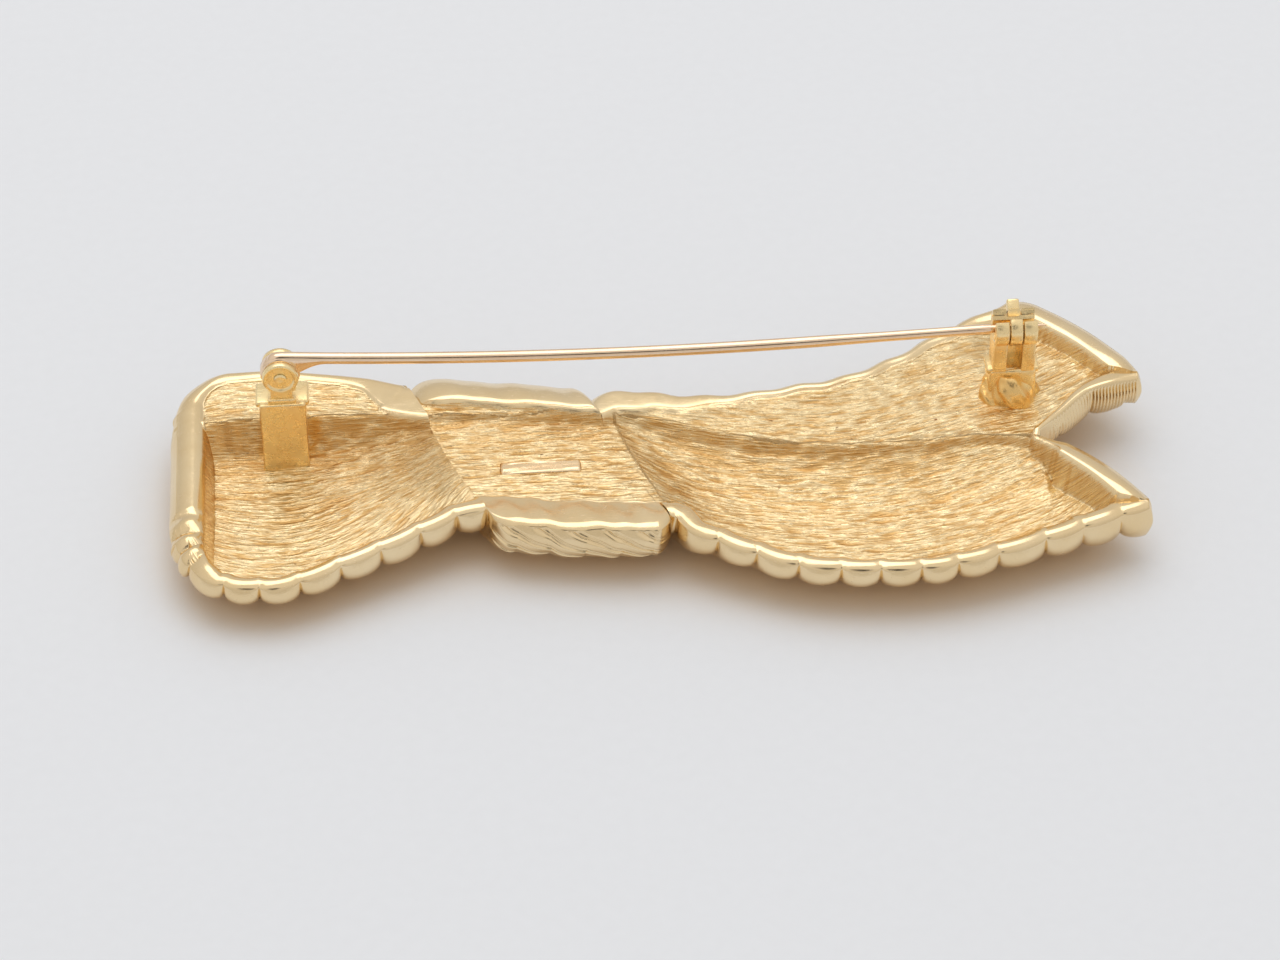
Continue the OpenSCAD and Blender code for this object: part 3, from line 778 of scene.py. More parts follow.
    def front_surface(self, near: Array, far: Array, d: Array, levels: Array,
                      relief: Array, foot_near: Array, foot_far: Array,
                      roof: Array) -> Array:
        """Points of the ribbed front, which lies down.

        Args:
            near: Plan point of each station on the near edge.
            far: The same on the far edge.
            d: Distances across each station.
            levels: Height of the crests, stations by points.
            relief: Height of the valleys above the crests, stations by points.
            foot_near: Height to which the front turns up at the near edge.
            foot_far: The same at the far edge.
            roof: Height of the back over each point.

        Returns:
            Stations by points by seven values.
        """
        w = np.linalg.norm(far - near, axis=1)[:, None]
        inset, reach = np.minimum(self.turn_in, w / 5), np.minimum(3.0, w / 2)
        e = d + inset * (np.clip(1 - d / reach, 0, 1) ** 2 - np.clip(1 - (w - d) / reach, 0, 1) ** 2)
        xy = near[:, None] + (far - near)[:, None] * (e / w)[..., None]
        up_near = np.maximum(0.0, 1 - (e - inset) / self.turn_w) ** 2 * (foot_near[:, None] - levels)
        up_far = np.maximum(0.0, 1 - (w - inset - e) / self.turn_w) ** 2 * (foot_far[:, None] - levels)
        z = np.minimum(levels + np.maximum(np.maximum(up_near, up_far), 0.0) + relief, roof - self.thinnest)
        zero = np.zeros_like(z)
        return np.stack([xy[..., 0], xy[..., 1], z, zero, xy[..., 0], xy[..., 1], zero + 0.6], axis=2)

    def wall(self, top: Array, foot: Array, outward: Array,
             swell: Array, cut: Callable[[Array], Array] | None = None,
             cells: int = 0) -> Array:
        """Points of an outer wall, which swells out between its top and its foot.

        Args:
            top: Points along the top.
            foot: Points along the foot.
            outward: Unit plan vectors out of the brooch.
            swell: How far the wall swells, one value a station.
            cut: Gives the depth of the grooves, stations by points, for 0 at the top to 1 at the foot.
            cells: Cells from top to foot, or 0 for the usual number.

        Returns:
            Stations by points by seven values, without the top and the foot.
        """
        count = cells or self.wall_cells
        t = np.arange(1, count)[None] / count
        t = mix(t, np.sin(0.5 * np.pi * t), 0.5)
        points = mix(top[:, None], foot[:, None], t[..., None])
        tuck = 1 - (1 - t**3.2) ** 0.45
        points[..., :2] = mix(top[:, None, :2], foot[:, None, :2], tuck[..., None])
        bulge = np.reshape(swell, (len(top), -1)) * np.sin(np.pi * t)
        if cut:
            bulge = bulge - cut(t) * ease(t / 0.06) * ease((1 - t) / 0.1)
        points[..., :2] += outward[:, None] * bulge[..., None]
        points[..., 3] = 0.0
        return points

    def shared(self, near_count: int, total: int) -> Array:
        """Which columns of the back the front shares."""
        near = [*range(0, near_count - 1, self.front_share), near_count - 1]
        far = [*range(near_count, total - 1, self.front_share), total - 1]
        return np.array(sorted({*near, *far}))

    @staticmethod
    def cap(last: Sections, pick: Array, out: Array, rings: int) -> Sections:
        """Rings that close the end of a stretch in a round wall.

        Args:
            last: The section at that end.
            pick: Which columns of the back the front shares.
            out: How far and which way the wall swells at each column of the back.
            rings: How many rings.

        Returns:
            The rings, the closing line last.
        """
        back, front = last.back[0], last.front[0]
        nearest = np.argmin(np.abs(pick[None] - np.arange(len(back))[:, None]), axis=1)
        middle = 0.5 * (back[:, 2] + front[nearest, 2])
        settled = middle[pick]
        made = []
        for k in range(1, rings + 1):
            c = math.cos(k / rings * math.pi / 2) if k < rings else 0.0
            s = 1 - c * c
            b, f, walls = back.copy(), front.copy(), []
            centre = mix(settled[nearest], middle, c)
            b[:, :2] = mix(back[pick][nearest, :2] + out[pick][nearest] * s, back[:, :2] + out * s, c)
            b[:, 2] = centre + (back[:, 2] - centre) * c
            f[:, :2] = mix(back[pick, :2], front[:, :2], c) + out[pick] * s
            f[:, 2] = settled + (front[:, 2] - settled) * c
            for part, column in ((last.far_wall[0], -1), (last.near_wall[0], 0)):
                wall = part.copy()
                wall[:, :2] = mix(back[column, :2], part[:, :2], c) + out[column] * s
                wall[:, 2] = settled[column] + (part[:, 2] - settled[column]) * c
                walls.append(wall)
            made.append(Sections(b[None], walls[0][None], f[None], walls[1][None]))
        return joined(*made)

    def closed(self, whole: Sections, pick: Array, start: Array, start_rings: int,
               end: Array, end_rings: int) -> Sections:
        """A stretch with both of its ends closed.

        Args:
            whole: The open stretch.
            pick: Which columns of the back the front shares.
            start: Swell of the wall at the first station, a row for each column.
            start_rings: Rings in that wall.
            end: Swell of the wall at the last station.
            end_rings: Rings in that wall.

        Returns:
            The closed stretch.
        """
        first = self.cap(whole.at(0), pick, start, start_rings)
        last = self.cap(whole.at(-1), pick, end, end_rings)
        return joined(Sections(*(part[::-1] for part in first)), whole, last)

    def dress(self, piece: bpy.types.Object) -> None:
        """Gives a stretch the cast finish and its place in the brooch."""
        piece.data.materials.append(CastGold().material())
        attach(piece, Body.RIBBON.value)
        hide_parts("ribbon_body")


def level(x: Array, column: str) -> Array:
    """One column of LAYERS at a station, by its near x."""
    return np.interp(x, [row.x for row in LAYERS], [getattr(row, column) for row in LAYERS])


def far_x(x: Array) -> Array:
    """The far x of a station, by its near x."""
    return np.interp(x, [row[0] for row in STATIONS], [row[1] for row in STATIONS])


@dataclass
class Ribbed(Casting):
    """A stretch of the ribbon between the knot and an end, with cross ribs on its front."""

    near_counts: tuple[int, ...] = (14, 8, 180, 26)
    far_counts: tuple[int, ...] = (44, 6, 12)
    lean_short: float = 0.3
    lean_run: float = 4.0
    cell_run: float = 3.0
    beside_near: float = 0.7
    beside_step: float = 0.35
    beside_far: float = 0.5
    far_swell: float = 0.4
    far_fade: tuple[float, float] = (24.0, 6.0)

    def stations(self, u: Array, phase: Array, far_scallop: float) -> Sections:
        """Whole sections across both layers.

        Args:
            u: Near x of each station.
            phase: Rib phase of each station.
            far_scallop: How far the far outline goes in at each valley.

        Returns:
            The open stretch.
        """
        xf = far_x(u)
        rib = crest(phase)
        pull = self.pull(u)
        near = self.near.place(u, -self.scallop * (1 - rib)) + pull
        far = self.far.place(xf, -far_scallop * (1 - crest(phase, self.far_blunt))) - pull
        w = np.linalg.norm(far - near, axis=1)
        r = self.fold_at(near, far)
        cell = mix(self.fold_cell, self.notch_cell, ease((u - NOTCH_X + self.cell_run) / self.cell_run)) / 2
        lip_n, lip_f = self.near.lip(u), np.minimum(self.far.lip(xf), w - r - self.lip_gap)
        marks = [0 * u, lip_n, lip_n + self.beside_near, r - self.run(u) - self.beside_step, r - cell]
        near_d = columns(marks, self.near_counts)
        far_d = columns([r + cell, w - lip_f - self.beside_far, w - lip_f, w], self.far_counts)
        d = np.concatenate([near_d, far_d], axis=1)
        past = np.clip((d - r[:, None]) / (w - r - lip_f)[:, None], 0.0, 1.0)
        room = self.far.rim(xf) - self.lean_short - level(u, "far_floor")
        room = room * (1 - ease((u - NOTCH_X + self.lean_run) / self.lean_run))
        lean = np.maximum(room, 0.0)[:, None] * past**1.4
        back = self.back_surface(u, near, far, d, d - r[:, None], lean)
        pick = self.picks
        levels = np.where(pick[None] < near_d.shape[1], level(u, "near_front")[:, None],
                          level(u, "far_front")[:, None])
        foot_n, foot_f = (foot + self.foot_rise * (1 - rib)
                          for foot in (self.near.foot(u), self.far.foot(xf)))
        relief = np.repeat((self.rib_depth * (1 - rib))[:, None], len(pick), axis=1)
        front = self.front_surface(near, far, d[:, pick], levels, relief, foot_n, foot_f, back[:, pick, 2])
        near_wall = self.wall(back[:, 0], front[:, 0], self.near.outward(u),
                              self.wall_swell + self.rib_swell * rib)
        fade = 1 - ease((u - self.far_fade[0]) / self.far_fade[1])
        far_swell = self.wall_swell + self.far_swell * rib * fade
        far_wall = self.wall(back[:, -1], front[:, -1], self.far.outward(xf), far_swell)
        return Sections(back, far_wall, front, near_wall)

    @property
    def near_columns(self) -> int:
        """Columns of the back on the near layer."""
        return sum(self.near_counts) + 1

    @property
    def picks(self) -> Array:
        """Which columns of the back the front shares."""
        return self.shared(self.near_columns, self.near_columns + sum(self.far_counts) + 1)


@dataclass
class ShortTail(Ribbed):
    """The short tail, with its straight end."""

    near_counts: tuple[int, ...] = (30, 8, 180, 26)
    rib_cells: int = 14
    corner_cells: int = 64
    inner_cells: int = 14
    end_rings: int = 12
    end_swell: float = 0.62
    corner_swell: float = 0.32
    end_lift: float = 1.3
    lift_run: float = 1.4
    crowding: float = 1.2
    inner_reach: tuple[float, float] = (0.4, 0.6)
    far_in: float = 0.03
    corner_w: float = 3.0

    def build(self) -> bpy.types.Object:
        """Builds the short tail.

        Returns:
            The finished piece.
        """
        corner = np.linspace(0, 1, self.corner_cells + 1)[:-1] ** self.crowding
        corner = mix(START_X, SHORT_VALLEYS[1], corner)
        u = np.concatenate([corner, rib_stations(SHORT_VALLEYS, SHORT_VALLEYS[1], KNOT[0], self.rib_cells)])
        inner = START_X + NEAR_EDGE[0].lip
        low, high = inner - self.inner_reach[0], inner + self.inner_reach[1]
        u = np.union1d(u[(u < low) | (u > high)], np.linspace(low, high, self.inner_cells))
        whole = self.stations(u, short_phase(u), self.far_in)
        whole.front[..., 2] += (self.end_lift * (1 - ease((u - u[0]) / self.lift_run)))[:, None]
        y = whole.back[0, :, 1]
        corners = np.minimum((FAR_EDGE[0].y - y) / self.corner_w, (y - NEAR_EDGE[0].y) / self.corner_w)
        swell = mix(self.corner_swell, self.end_swell, ease(corners))
        start = np.stack([-swell, 0 * swell], axis=1)
        sections = self.closed(whole, self.picks, start, self.end_rings, 0 * start, 1)
        bm = new_bmesh()
        lay_grid(bm, sections.loops())
        piece = make_piece("short_tail", bm, self.sharp_deg)
        self.dress(piece)
        return piece


@dataclass
class ForkedTails(Ribbed):
    """The long tail from the knot to the notch, and the two slanting tails past it."""

    near_counts: tuple[int, ...] = (12, 6, 132, 14)
    far_counts: tuple[int, ...] = (104, 6, 10)
    rib_cells: int = 13
    near_stations: int = 56
    reeds: int = 32
    cells_per_reed: int = 4
    tip_rings: int = 8
    tip_swell: float = 0.4
    cut_swell: float = 0.22
    swell_run: float = 1.5
    reed_depth: float = 0.1
    notch_swell: tuple[float, float] = (0.12, 0.36)
    full_w: float = 5.5
    near_step: tuple[float, float] = (9.0, 2.5)
    far_step: tuple[float, float] = (3.0, 1.5)
    cut_cells: float = 0.9
    far_lip_share: float = 1.3

    def build(self) -> bpy.types.Object:
        """Builds the long tail and both of its ends.

        Returns:
            The finished piece.
        """
        u = rib_stations(LONG_VALLEYS, KNOT[1], NOTCH_X, self.rib_cells)
        whole = self.stations(u, phase_of(u, LONG_VALLEYS), self.far_scallop)
        flat = np.zeros((whole.back.shape[1], 2))
        start = self.cap(whole.at(0), self.picks, flat, 1)
        bm = new_bmesh()
        lay_grid(bm, joined(start, whole).loops())
        self.near_tail(bm, whole.at(-1))
        self.far_tail(bm, whole.at(-1))
        piece = make_piece("forked_tails", bm, self.sharp_deg)
        self.dress(piece)
        return piece

    def apex(self, last: Sections) -> tuple[Array, Array]:
        """The two upright lines where the notch starts, top to foot, as one-station arrays."""
        split = self.near_columns
        split_front = int(np.sum(self.picks < split))
        t = np.arange(self.wall_cells + 1)[None, :, None] / self.wall_cells
        lines = []
        for b, f in ((split - 1, split_front - 1), (split, split_front)):
            line = mix(last.back[:, [b]], last.front[:, [f]], t)
            line[:, 1:-1, 3] = 0.0
            lines.append(line)
        return lines[0], lines[1]

    def near_tail(self, bm: Mesh, last: Sections) -> None:
        """Adds the near tail and the strip at the foot of the notch.

        Args:
            bm: The mesh to add to.
            last: The last whole section.
        """
        split = self.near_columns
        pick = self.picks[self.picks < split]
        lines = self.apex(last)
        lay_grid(bm, np.concatenate(lines))
        first = Sections(last.back[:, :split], lines[0][:, 1:-1], last.front[:, :len(pick)], last.near_wall)
        x = np.linspace(NOTCH_X, NEAR_CUT[-1].x, self.near_stations)[1:]
        rib = crest(phase_of(x, LONG_VALLEYS))
        near = np.stack([x, self.near.line(x) + self.scallop * (1 - rib)], axis=1)
        far = np.stack([x, self.near_cut.line(x)], axis=1)
        w = far[:, 1] - near[:, 1]
        k = np.minimum(1.0, w / self.full_w)
        lip = self.near.lip(x)
        marks = [0 * x, lip * k, (lip + self.beside_near) * k, w - self.cut_cells * k, w]
        d = columns(marks, self.near_counts)
        s = d - w[:, None] - (self.near_step[0] * ease((x - NOTCH_X) / self.near_step[1]))[:, None]
        tail = self.one_tail(x, near, far, d, s, "near_front", pick, rib,
                             (self.near.foot(x), self.near_cut.foot(x)))
        near_wall = self.wall(tail.back[:, 0], tail.front[:, 0], self.near.outward(x),
                              self.wall_swell + self.rib_swell * rib)
        far_wall = self.wall(tail.back[:, -1], tail.front[:, -1], self.near_cut.outward(x),
                             self.cut_swell * ease((x - NOTCH_X) / self.swell_run))
        tail = joined(first, tail._replace(near_wall=near_wall, far_wall=far_wall))
        self.close_tip(bm, tail, pick)

    def far_tail(self, bm: Mesh, last: Sections) -> None:
        """Adds the far tail, whose wall beside the notch is reeded.

        Args:
            bm: The mesh to add to.
            last: The last whole section.
        """
        split = self.near_columns
        pick = self.picks[self.picks >= split] - split
        lines = self.apex(last)
        first = Sections(last.back[:, split:], last.far_wall, last.front[:, -len(pick):], lines[1][:, 1:-1])
        x = np.linspace(NOTCH_X, FAR_CUT[-1].x, self.reeds * self.cells_per_reed + 1)[1:]
        near, far = (np.stack([x, edge.line(x)], axis=1) for edge in (self.notch, self.far_cut))
        w = far[:, 1] - near[:, 1]
        k = np.minimum(1.0, w / self.full_w)
        lip = self.far_lip_share * self.far_cut.lip(x)
        d = columns([0 * x, w - (lip + self.beside_far) * k, w - lip * k, w], self.far_counts)
        s = d + (self.far_step[0] * ease((x - NOTCH_X) / self.far_step[1]))[:, None]
        rib = crest(phase_of(x, LONG_VALLEYS))
        tail = self.one_tail(x, near, far, d, s, "far_front", pick, rib,
                             (self.notch.foot(x), self.far_cut.foot(x)))
        start = ease((x - NOTCH_X) / self.swell_run)
        turn = np.pi * np.arange(1, len(x) + 1) / self.cells_per_reed
        reed = self.reed_depth * (1 - np.abs(np.sin(turn))) * start
        scale = self.notch_swell[0] + self.notch_swell[1] * crest(phase_of(x, NOTCH_VALLEYS))
        near_wall = self.wall(tail.back[:, 0], tail.front[:, 0], self.notch.outward(x), scale * start,
                              lambda t: reed[:, None] + 0 * t)
        far_wall = self.wall(tail.back[:, -1], tail.front[:, -1], self.far_cut.outward(x),
                             mix(self.wall_swell, self.cut_swell, start))
        tail = joined(first, tail._replace(near_wall=near_wall, far_wall=far_wall))
        self.close_tip(bm, tail, pick)

    def one_tail(self, x: Array, near: Array, far: Array, d: Array, s: Array,
                 front_level: str, pick: Array, rib: Array,
                 feet: tuple[Array, Array]) -> Sections:
        """Back and front of one tail, with no walls yet.

        Args:
            x: Where the stations lie.
            near: Plan points on the tail's near edge.
            far: Plan points on its far edge.
            d: Distances across.
            s: Distances past the fold.
            front_level: Column of LAYERS for the front.
            pick: Which columns of the back the front shares.
            rib: Height of the rib at each station.
            feet: Heights of the front at the near and the far edge.

        Returns:
            Sections whose walls are empty.
        """
        back = self.back_surface(x, near, far, d, s)
        levels = np.repeat(level(x, front_level)[:, None], len(pick), axis=1)
        relief = np.repeat((self.rib_depth * (1 - rib))[:, None], len(pick), axis=1)
        near_foot, far_foot = (foot + self.foot_rise * (1 - rib) for foot in feet)
        front = self.front_surface(near, far, d[:, pick], levels, relief, near_foot, far_foot,
                                   back[:, pick, 2])
        return Sections(back, back[:, :0], front, back[:, :0])

    def close_tip(self, bm: Mesh, tail: Sections, pick: Array) -> None:
        """Adds a tail and closes its tip in a round wall."""
        out = np.tile([self.tip_swell, 0.0], (tail.back.shape[1], 1))
        tip = self.cap(tail.at(-1), pick, out, self.tip_rings)
        lay_grid(bm, joined(tail, tip).loops())


@dataclass
class KnotBand(Casting):
    """The band that is wrapped round the waist, with slanting grooves across it."""

    counts: tuple[int, ...] = (12, 12, 14, 80, 20, 12, 14)
    station_count: int = 236
    near_out: float = 1.6
    far_out: tuple[float, float] = (1.7, 1.2)
    far_lift: float = 0.45
    band_deep: float = 1.2
    tuck: float = 0.35
    shoulder_run: tuple[float, float] = (2.6, 1.7)
    near_lip: float = 3.9
    far_lip: float = 4.2
    skew: float = 0.95
    grooves: float = 5.5
    slant: float = 2.9
    groove_depth: float = 0.23
    fine_depth: float = 0.1
    band_cells: int = 72
    band_swell: float = 0.5
    edge_waves: tuple[Triple, ...] = ((0.06, 1.7, 0.6), (0.04, 3.1, 0.0))
    lip_waves: tuple[Triple, ...] = ((0.07, 1.1, 0.0), (0.03, 2.3, 1.0))
    lip_sink: float = 0.25
    lip_less: float = 0.9
    bead_fade: tuple[float, float] = (-8.0, 4.0)
    main_line: tuple[float, float] = (0.5, 0.09)
    fine_line: tuple[float, float] = (0.76, 0.065)
    slant_power: float = 1.25
    front_relief: float = 0.35
    front_slant: float = 1.5
    foot_drop: float = 0.4

    def share(self, u: Array) -> Array:
        """How far along the band, from 0 to 1."""
        return (u - KNOT[0]) / (KNOT[1] - KNOT[0])

    def shoulder(self, u: Array) -> Array:
        """0 at both ends of the band and 1 between its rounded shoulders."""
        left, right = self.shoulder_run
        t = np.clip(np.minimum((u - KNOT[0]) / left, (KNOT[1] - u) / right), 0.0, 1.0)
        return (1 - (1 - t) ** 3) ** 0.7

    def far_reach(self, u: Array) -> Array:
        """How far the band's far side stands out past the ribbon's edge, between its shoulders."""
        return mix(*self.far_out, self.share(u))

    def edges(self, u: Array) -> tuple[Array, Array]:
        """Plan points of the band's near and far edge."""
        near, far = (mix(-self.tuck, out, self.shoulder(u)) for out in (self.near_out, self.far_reach(u)))
        near = near + self.shoulder(u) * waves(u, self.edge_waves)
        across = self.across(u)
        return (self.near.place(u, np.maximum(near, 0.0)) + across * np.maximum(-near, 0.0)[:, None],
                self.far.place(far_x(u), np.maximum(far, 0.0)) - across * np.maximum(-far, 0.0)[:, None])

    def lips(self, u: Array) -> tuple[Array, Array]:
        """Width of the near and the far lip, whose inner edges run straight on past the shoulders."""
        less = (1 - self.shoulder(u)) * self.lip_less
        near = self.near_lip - less * (self.near_out + self.tuck)
        return near, self.far_lip - less * (self.far_reach(u) + self.tuck)

    def band_lips(self, u: Array, d: Array, w: Array) -> dict[str, Array]:
        """What each point of the back lies on, by its distance straight across the band.

        Args:
            u: Near x of each station.
            d: Distances across each station.
            w: Width of each station.

        Returns:
            The same as Outline.measure.
        """
        near = d < w[:, None] / 2
        wave = (waves(u, self.lip_waves) - self.lip_sink * (1 - self.shoulder(u)))[:, None]
        near_lip, far_lip = self.lips(u)
        forms = zip(LipForm._fields, NEAR_BAND_LIP, FAR_BAND_LIP)
        said = {name: np.where(near, a, b) for name, a, b in forms}
        said["d"] = self.skew * np.minimum(d, w[:, None] - d)
        far_rim = self.far.rim(far_x(u)) + self.far_lift * self.shoulder(u)
        said["rim"] = wave + np.where(near, self.near.rim(u)[:, None], far_rim[:, None])
        said["lip"] = np.where(near, near_lip[:, None], far_lip[:, None])
        fade = ease((u - self.bead_fade[0]) / self.bead_fade[1])
        said["bead"] = said["bead"] * np.where(near, mix(0.2, 1.0, fade)[:, None], 1.0)
        said["phase"] = np.full(d.shape, 0.5)
        said["groove"] = np.zeros(d.shape)
        return said

    def groove(self, u: Array, t: Array) -> Array:
        """Depth of the slanting grooves, each with a fine line beside it.

        Args:
            u: Near x of the station.
            t: 0 at the top of the near wall and 1 at its foot.

        Returns:
            How far the skin goes in.
        """
        phase = self.share(u) * self.grooves - self.slant * t**self.slant_power
        f = phase - np.floor(phase)
        main, fine = (np.exp(-((f - at) / wide) ** 2) for at, wide in (self.main_line, self.fine_line))
        return (self.groove_depth * main + self.fine_depth * fine) * self.shoulder(u)

    def build(self) -> bpy.types.Object:
        """Builds the knot.

        Returns:
            The finished piece.
        """
        t = np.linspace(0.0, 1.0, self.station_count)
        u = mix(KNOT[0], KNOT[1], mix(t, 0.5 - 0.5 * np.cos(np.pi * t), 0.6))
        near, far = self.edges(u)
        xf = far_x(u)
        w = np.linalg.norm(far - near, axis=1)
        r = self.fold_at(near, far)
        near_lip, far_lip = self.lips(u)
        n, f = near_lip / self.skew, w - far_lip / self.skew
        marks = [0 * u, 0.9 + 0 * u, n - 0.45, n + 0.6, f - 0.9, f + 0.3, w - 0.5 * far_lip, w]
        d = columns(marks, self.counts)
        back = self.back_surface(u, near, far, d, d - r[:, None], 0.0, self.band_lips(u, d, w))
        pick = self.shared(d.shape[1] // 2, d.shape[1])
        e = d[:, pick]
        shoulder = self.shoulder(u)[:, None]
        levels = mix(level(u, "near_front")[:, None], level(u, "far_front")[:, None],
                     ease((e - r[:, None] + 0.3) / 0.6))
        levels = np.maximum(0.0, levels - self.band_deep * shoulder)
        phase = self.share(u[:, None]) * self.grooves + self.front_slant * e / w[:, None]
        relief = self.front_relief * (1 - crest(phase)) * shoulder
        foot = self.near.foot(u) - self.foot_drop * shoulder[:, 0]
        front = self.front_surface(near, far, e, levels, relief, foot, self.far.foot(xf), back[:, pick, 2])
        swell = self.band_swell * shoulder[:, 0]
        walls = ((back[:, 0], front[:, 0], self.near.outward(u)),
                 (back[:, -1], front[:, -1], self.far.outward(xf)))
        near_wall, far_wall = (self.wall(*part, swell, lambda t: self.groove(u[:, None], t), self.band_cells)
                               for part in walls)
        whole = Sections(back, far_wall, front, near_wall)
        flat = np.zeros((d.shape[1], 2))
        bm = new_bmesh()
        lay_grid(bm, self.closed(whole, pick, flat, 1, flat, 1).loops())
        piece = make_piece("knot_band", bm, self.sharp_deg)
        self.dress(piece)
        return piece


def take_in(bm: Mesh, part: Mesh) -> None:
    """Adds one mesh to another and frees it."""
    mesh = bpy.data.meshes.new("part")
    part.to_mesh(mesh)
    part.free()
    bm.from_mesh(mesh)
    bpy.data.meshes.remove(mesh)


def box(bm: Mesh, low: Sequence[float], high: Sequence[float], bevel: float,
        cuts: int = 0, shape: Callable[[Mesh], None] | None = None) -> None:
    """Adds a box with rounded edges.

    Args:
        bm: The mesh to add to.
        low: Its lowest corner.
        high: Its highest corner.
        bevel: Radius of its edges.
        cuts: Cuts across every edge, for boxes that are shaped further.
        shape: Shapes the box further.
    """
    size = [h - l for l, h in zip(low, high)]
    middle = [(h + l) / 2 for l, h in zip(low, high)]
    part = bmesh.new()
    bmesh.ops.create_cube(part, size=1.0, matrix=Matrix.Translation(middle) @ Matrix.Diagonal((*size, 1.0)))
    if cuts:
        bmesh.ops.subdivide_edges(part, edges=part.edges[:], cuts=cuts, use_grid_fill=True)
    sharp = [edge for edge in part.edges if edge.calc_face_angle() > 0.5]
    bmesh.ops.bevel(part, geom=sharp, offset=bevel, segments=3, profile=0.5, affect="EDGES", material=-1)
    part.normal_update()
    if shape:
        shape(part)
    take_in(bm, part)


def turned(bm: Mesh, profile: Sequence[tuple[float, float]], centre: Sequence[float],
           axis: Vector, start_deg: float = 0.0, sweep_deg: float = 360.0, steps: int = 48) -> None:
    """Spins a closed profile round an axis and closes the ends of a part turn.

    Args:
        bm: The mesh to add to.
        profile: Places along the axis and out from it, round the profile.
        centre: A point on the axis.
        axis: Direction of the axis, along X or Y.
        start_deg: Where the spin starts, from straight up.
        sweep_deg: How far it goes.
        steps: Steps in the spin.
    """
    start = Matrix.Rotation(math.radians(start_deg), 3, axis)
    origin = Vector(centre)
    up = Vector((0.0, 0.0, 1.0))
    verts = [bm.verts.new(origin + start @ (axis * along + up * out)) for along, out in profile]
    edges = [bm.edges.new((a, b)) for a, b in zip(verts, verts[1:] + verts[:1])]
    whole = sweep_deg >= 360.0
    made = bmesh.ops.spin(bm, geom=verts + edges, cent=origin, axis=axis, angle=math.radians(sweep_deg),
                          steps=steps, use_merge=whole, use_duplicate=False)
    if not whole:
        ends = [edge for edge in made["geom_last"] if isinstance(edge, bmesh.types.BMEdge)]
        bmesh.ops.contextual_create(bm, geom=ends)
        bmesh.ops.contextual_create(bm, geom=edges)


def rounded_section(low: float, high: float, inner: float, outer: float,
                    bevel: float) -> list[tuple[float, float]]:
    """Profile of a ring: a rectangle with its corners cut twice."""
    cut = 0.3 * bevel
    corners = ((low, inner, 1, 1), (high, inner, -1, 1), (high, outer, -1, -1), (low, outer, 1, -1))
    profile = []
    for k, (along, out, sx, sy) in enumerate(corners):
        pair = [(along + sx * bevel, out), (along + sx * cut, out + sy * cut), (along, out + sy * bevel)]
        profile += pair[::-1] if k in (0, 2) else pair
    return profile


def lumpy(part: Mesh, amount: float, size: float, seed: int) -> None:
    """Moves vertices in and out, as on solder that has run.

    Args:
        part: The mesh to shape.
        amount: How far at most.
        size: Size of one lump.
        seed: Which pattern.
    """
    part.normal_update()
    for vert in part.verts:
        x, y, z = (c / size for c in vert.co)
        push = patchy(np.array(x + 0.7 * z), np.array(y - 0.4 * z), seed) - 0.5
        vert.co += vert.normal * float(push) * 2 * amount


@dataclass
class Fitting:
    """A small part that is soldered to the hollow back or moves on it."""

    pin_y: float = 7.9
    hinge: tuple[float, float] = (-29.5, 11.15)
    catch: tuple[float, float] = (29.8, 11.912)
    ring_r: float = 1.5
    bore_r: float = 1.02
    catch_l: float = 3.4
    flange_w: float = 1.0
    sharp_deg: float = 50.0

    def finish(self, name: str, bm: Mesh, body: Body, slot: Slot, finish: Finish,
               *nodes: str) -> bpy.types.Object:
        """Makes the piece, dresses it and sets it on its body.

        Args:
            name: The piece's name.
            bm: Its mesh.
            body: The body that it rides on.
            slot: The record's slot for its finish; not used.
            finish: Its finish.
            nodes: The nodes that it stands for.

        Returns:
            The finished piece.
        """
        piece = make_piece(name, bm, self.sharp_deg)
        piece.data.materials.append(finish.material())
        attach(piece, body.value)
        if nodes:
            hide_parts(*nodes)
        return piece


@dataclass
class Plaque(Fitting):
    """The bare raised plaque on the back of the knot."""

    low: Triple = (-12.3, 1.35, 4.1)
    high: Triple = (-5.8, 2.85, 4.68)

    def build(self) -> bpy.types.Object:
        """Builds the plaque.

        Returns:
            The finished piece.
        """
        bm = new_bmesh()
        box(bm, self.low, self.high, 0.26, 5, lambda part: lumpy(part, 0.06, 0.8, 3))
        tone = FittingsGold("plaque_gold", (0.97, 0.77, 0.50, 1.0), (0.93, 0.66, 0.38, 1.0))
        return self.finish("plaque", bm, Body.RIBBON, Slot.CAST, tone, "ribbon_body")


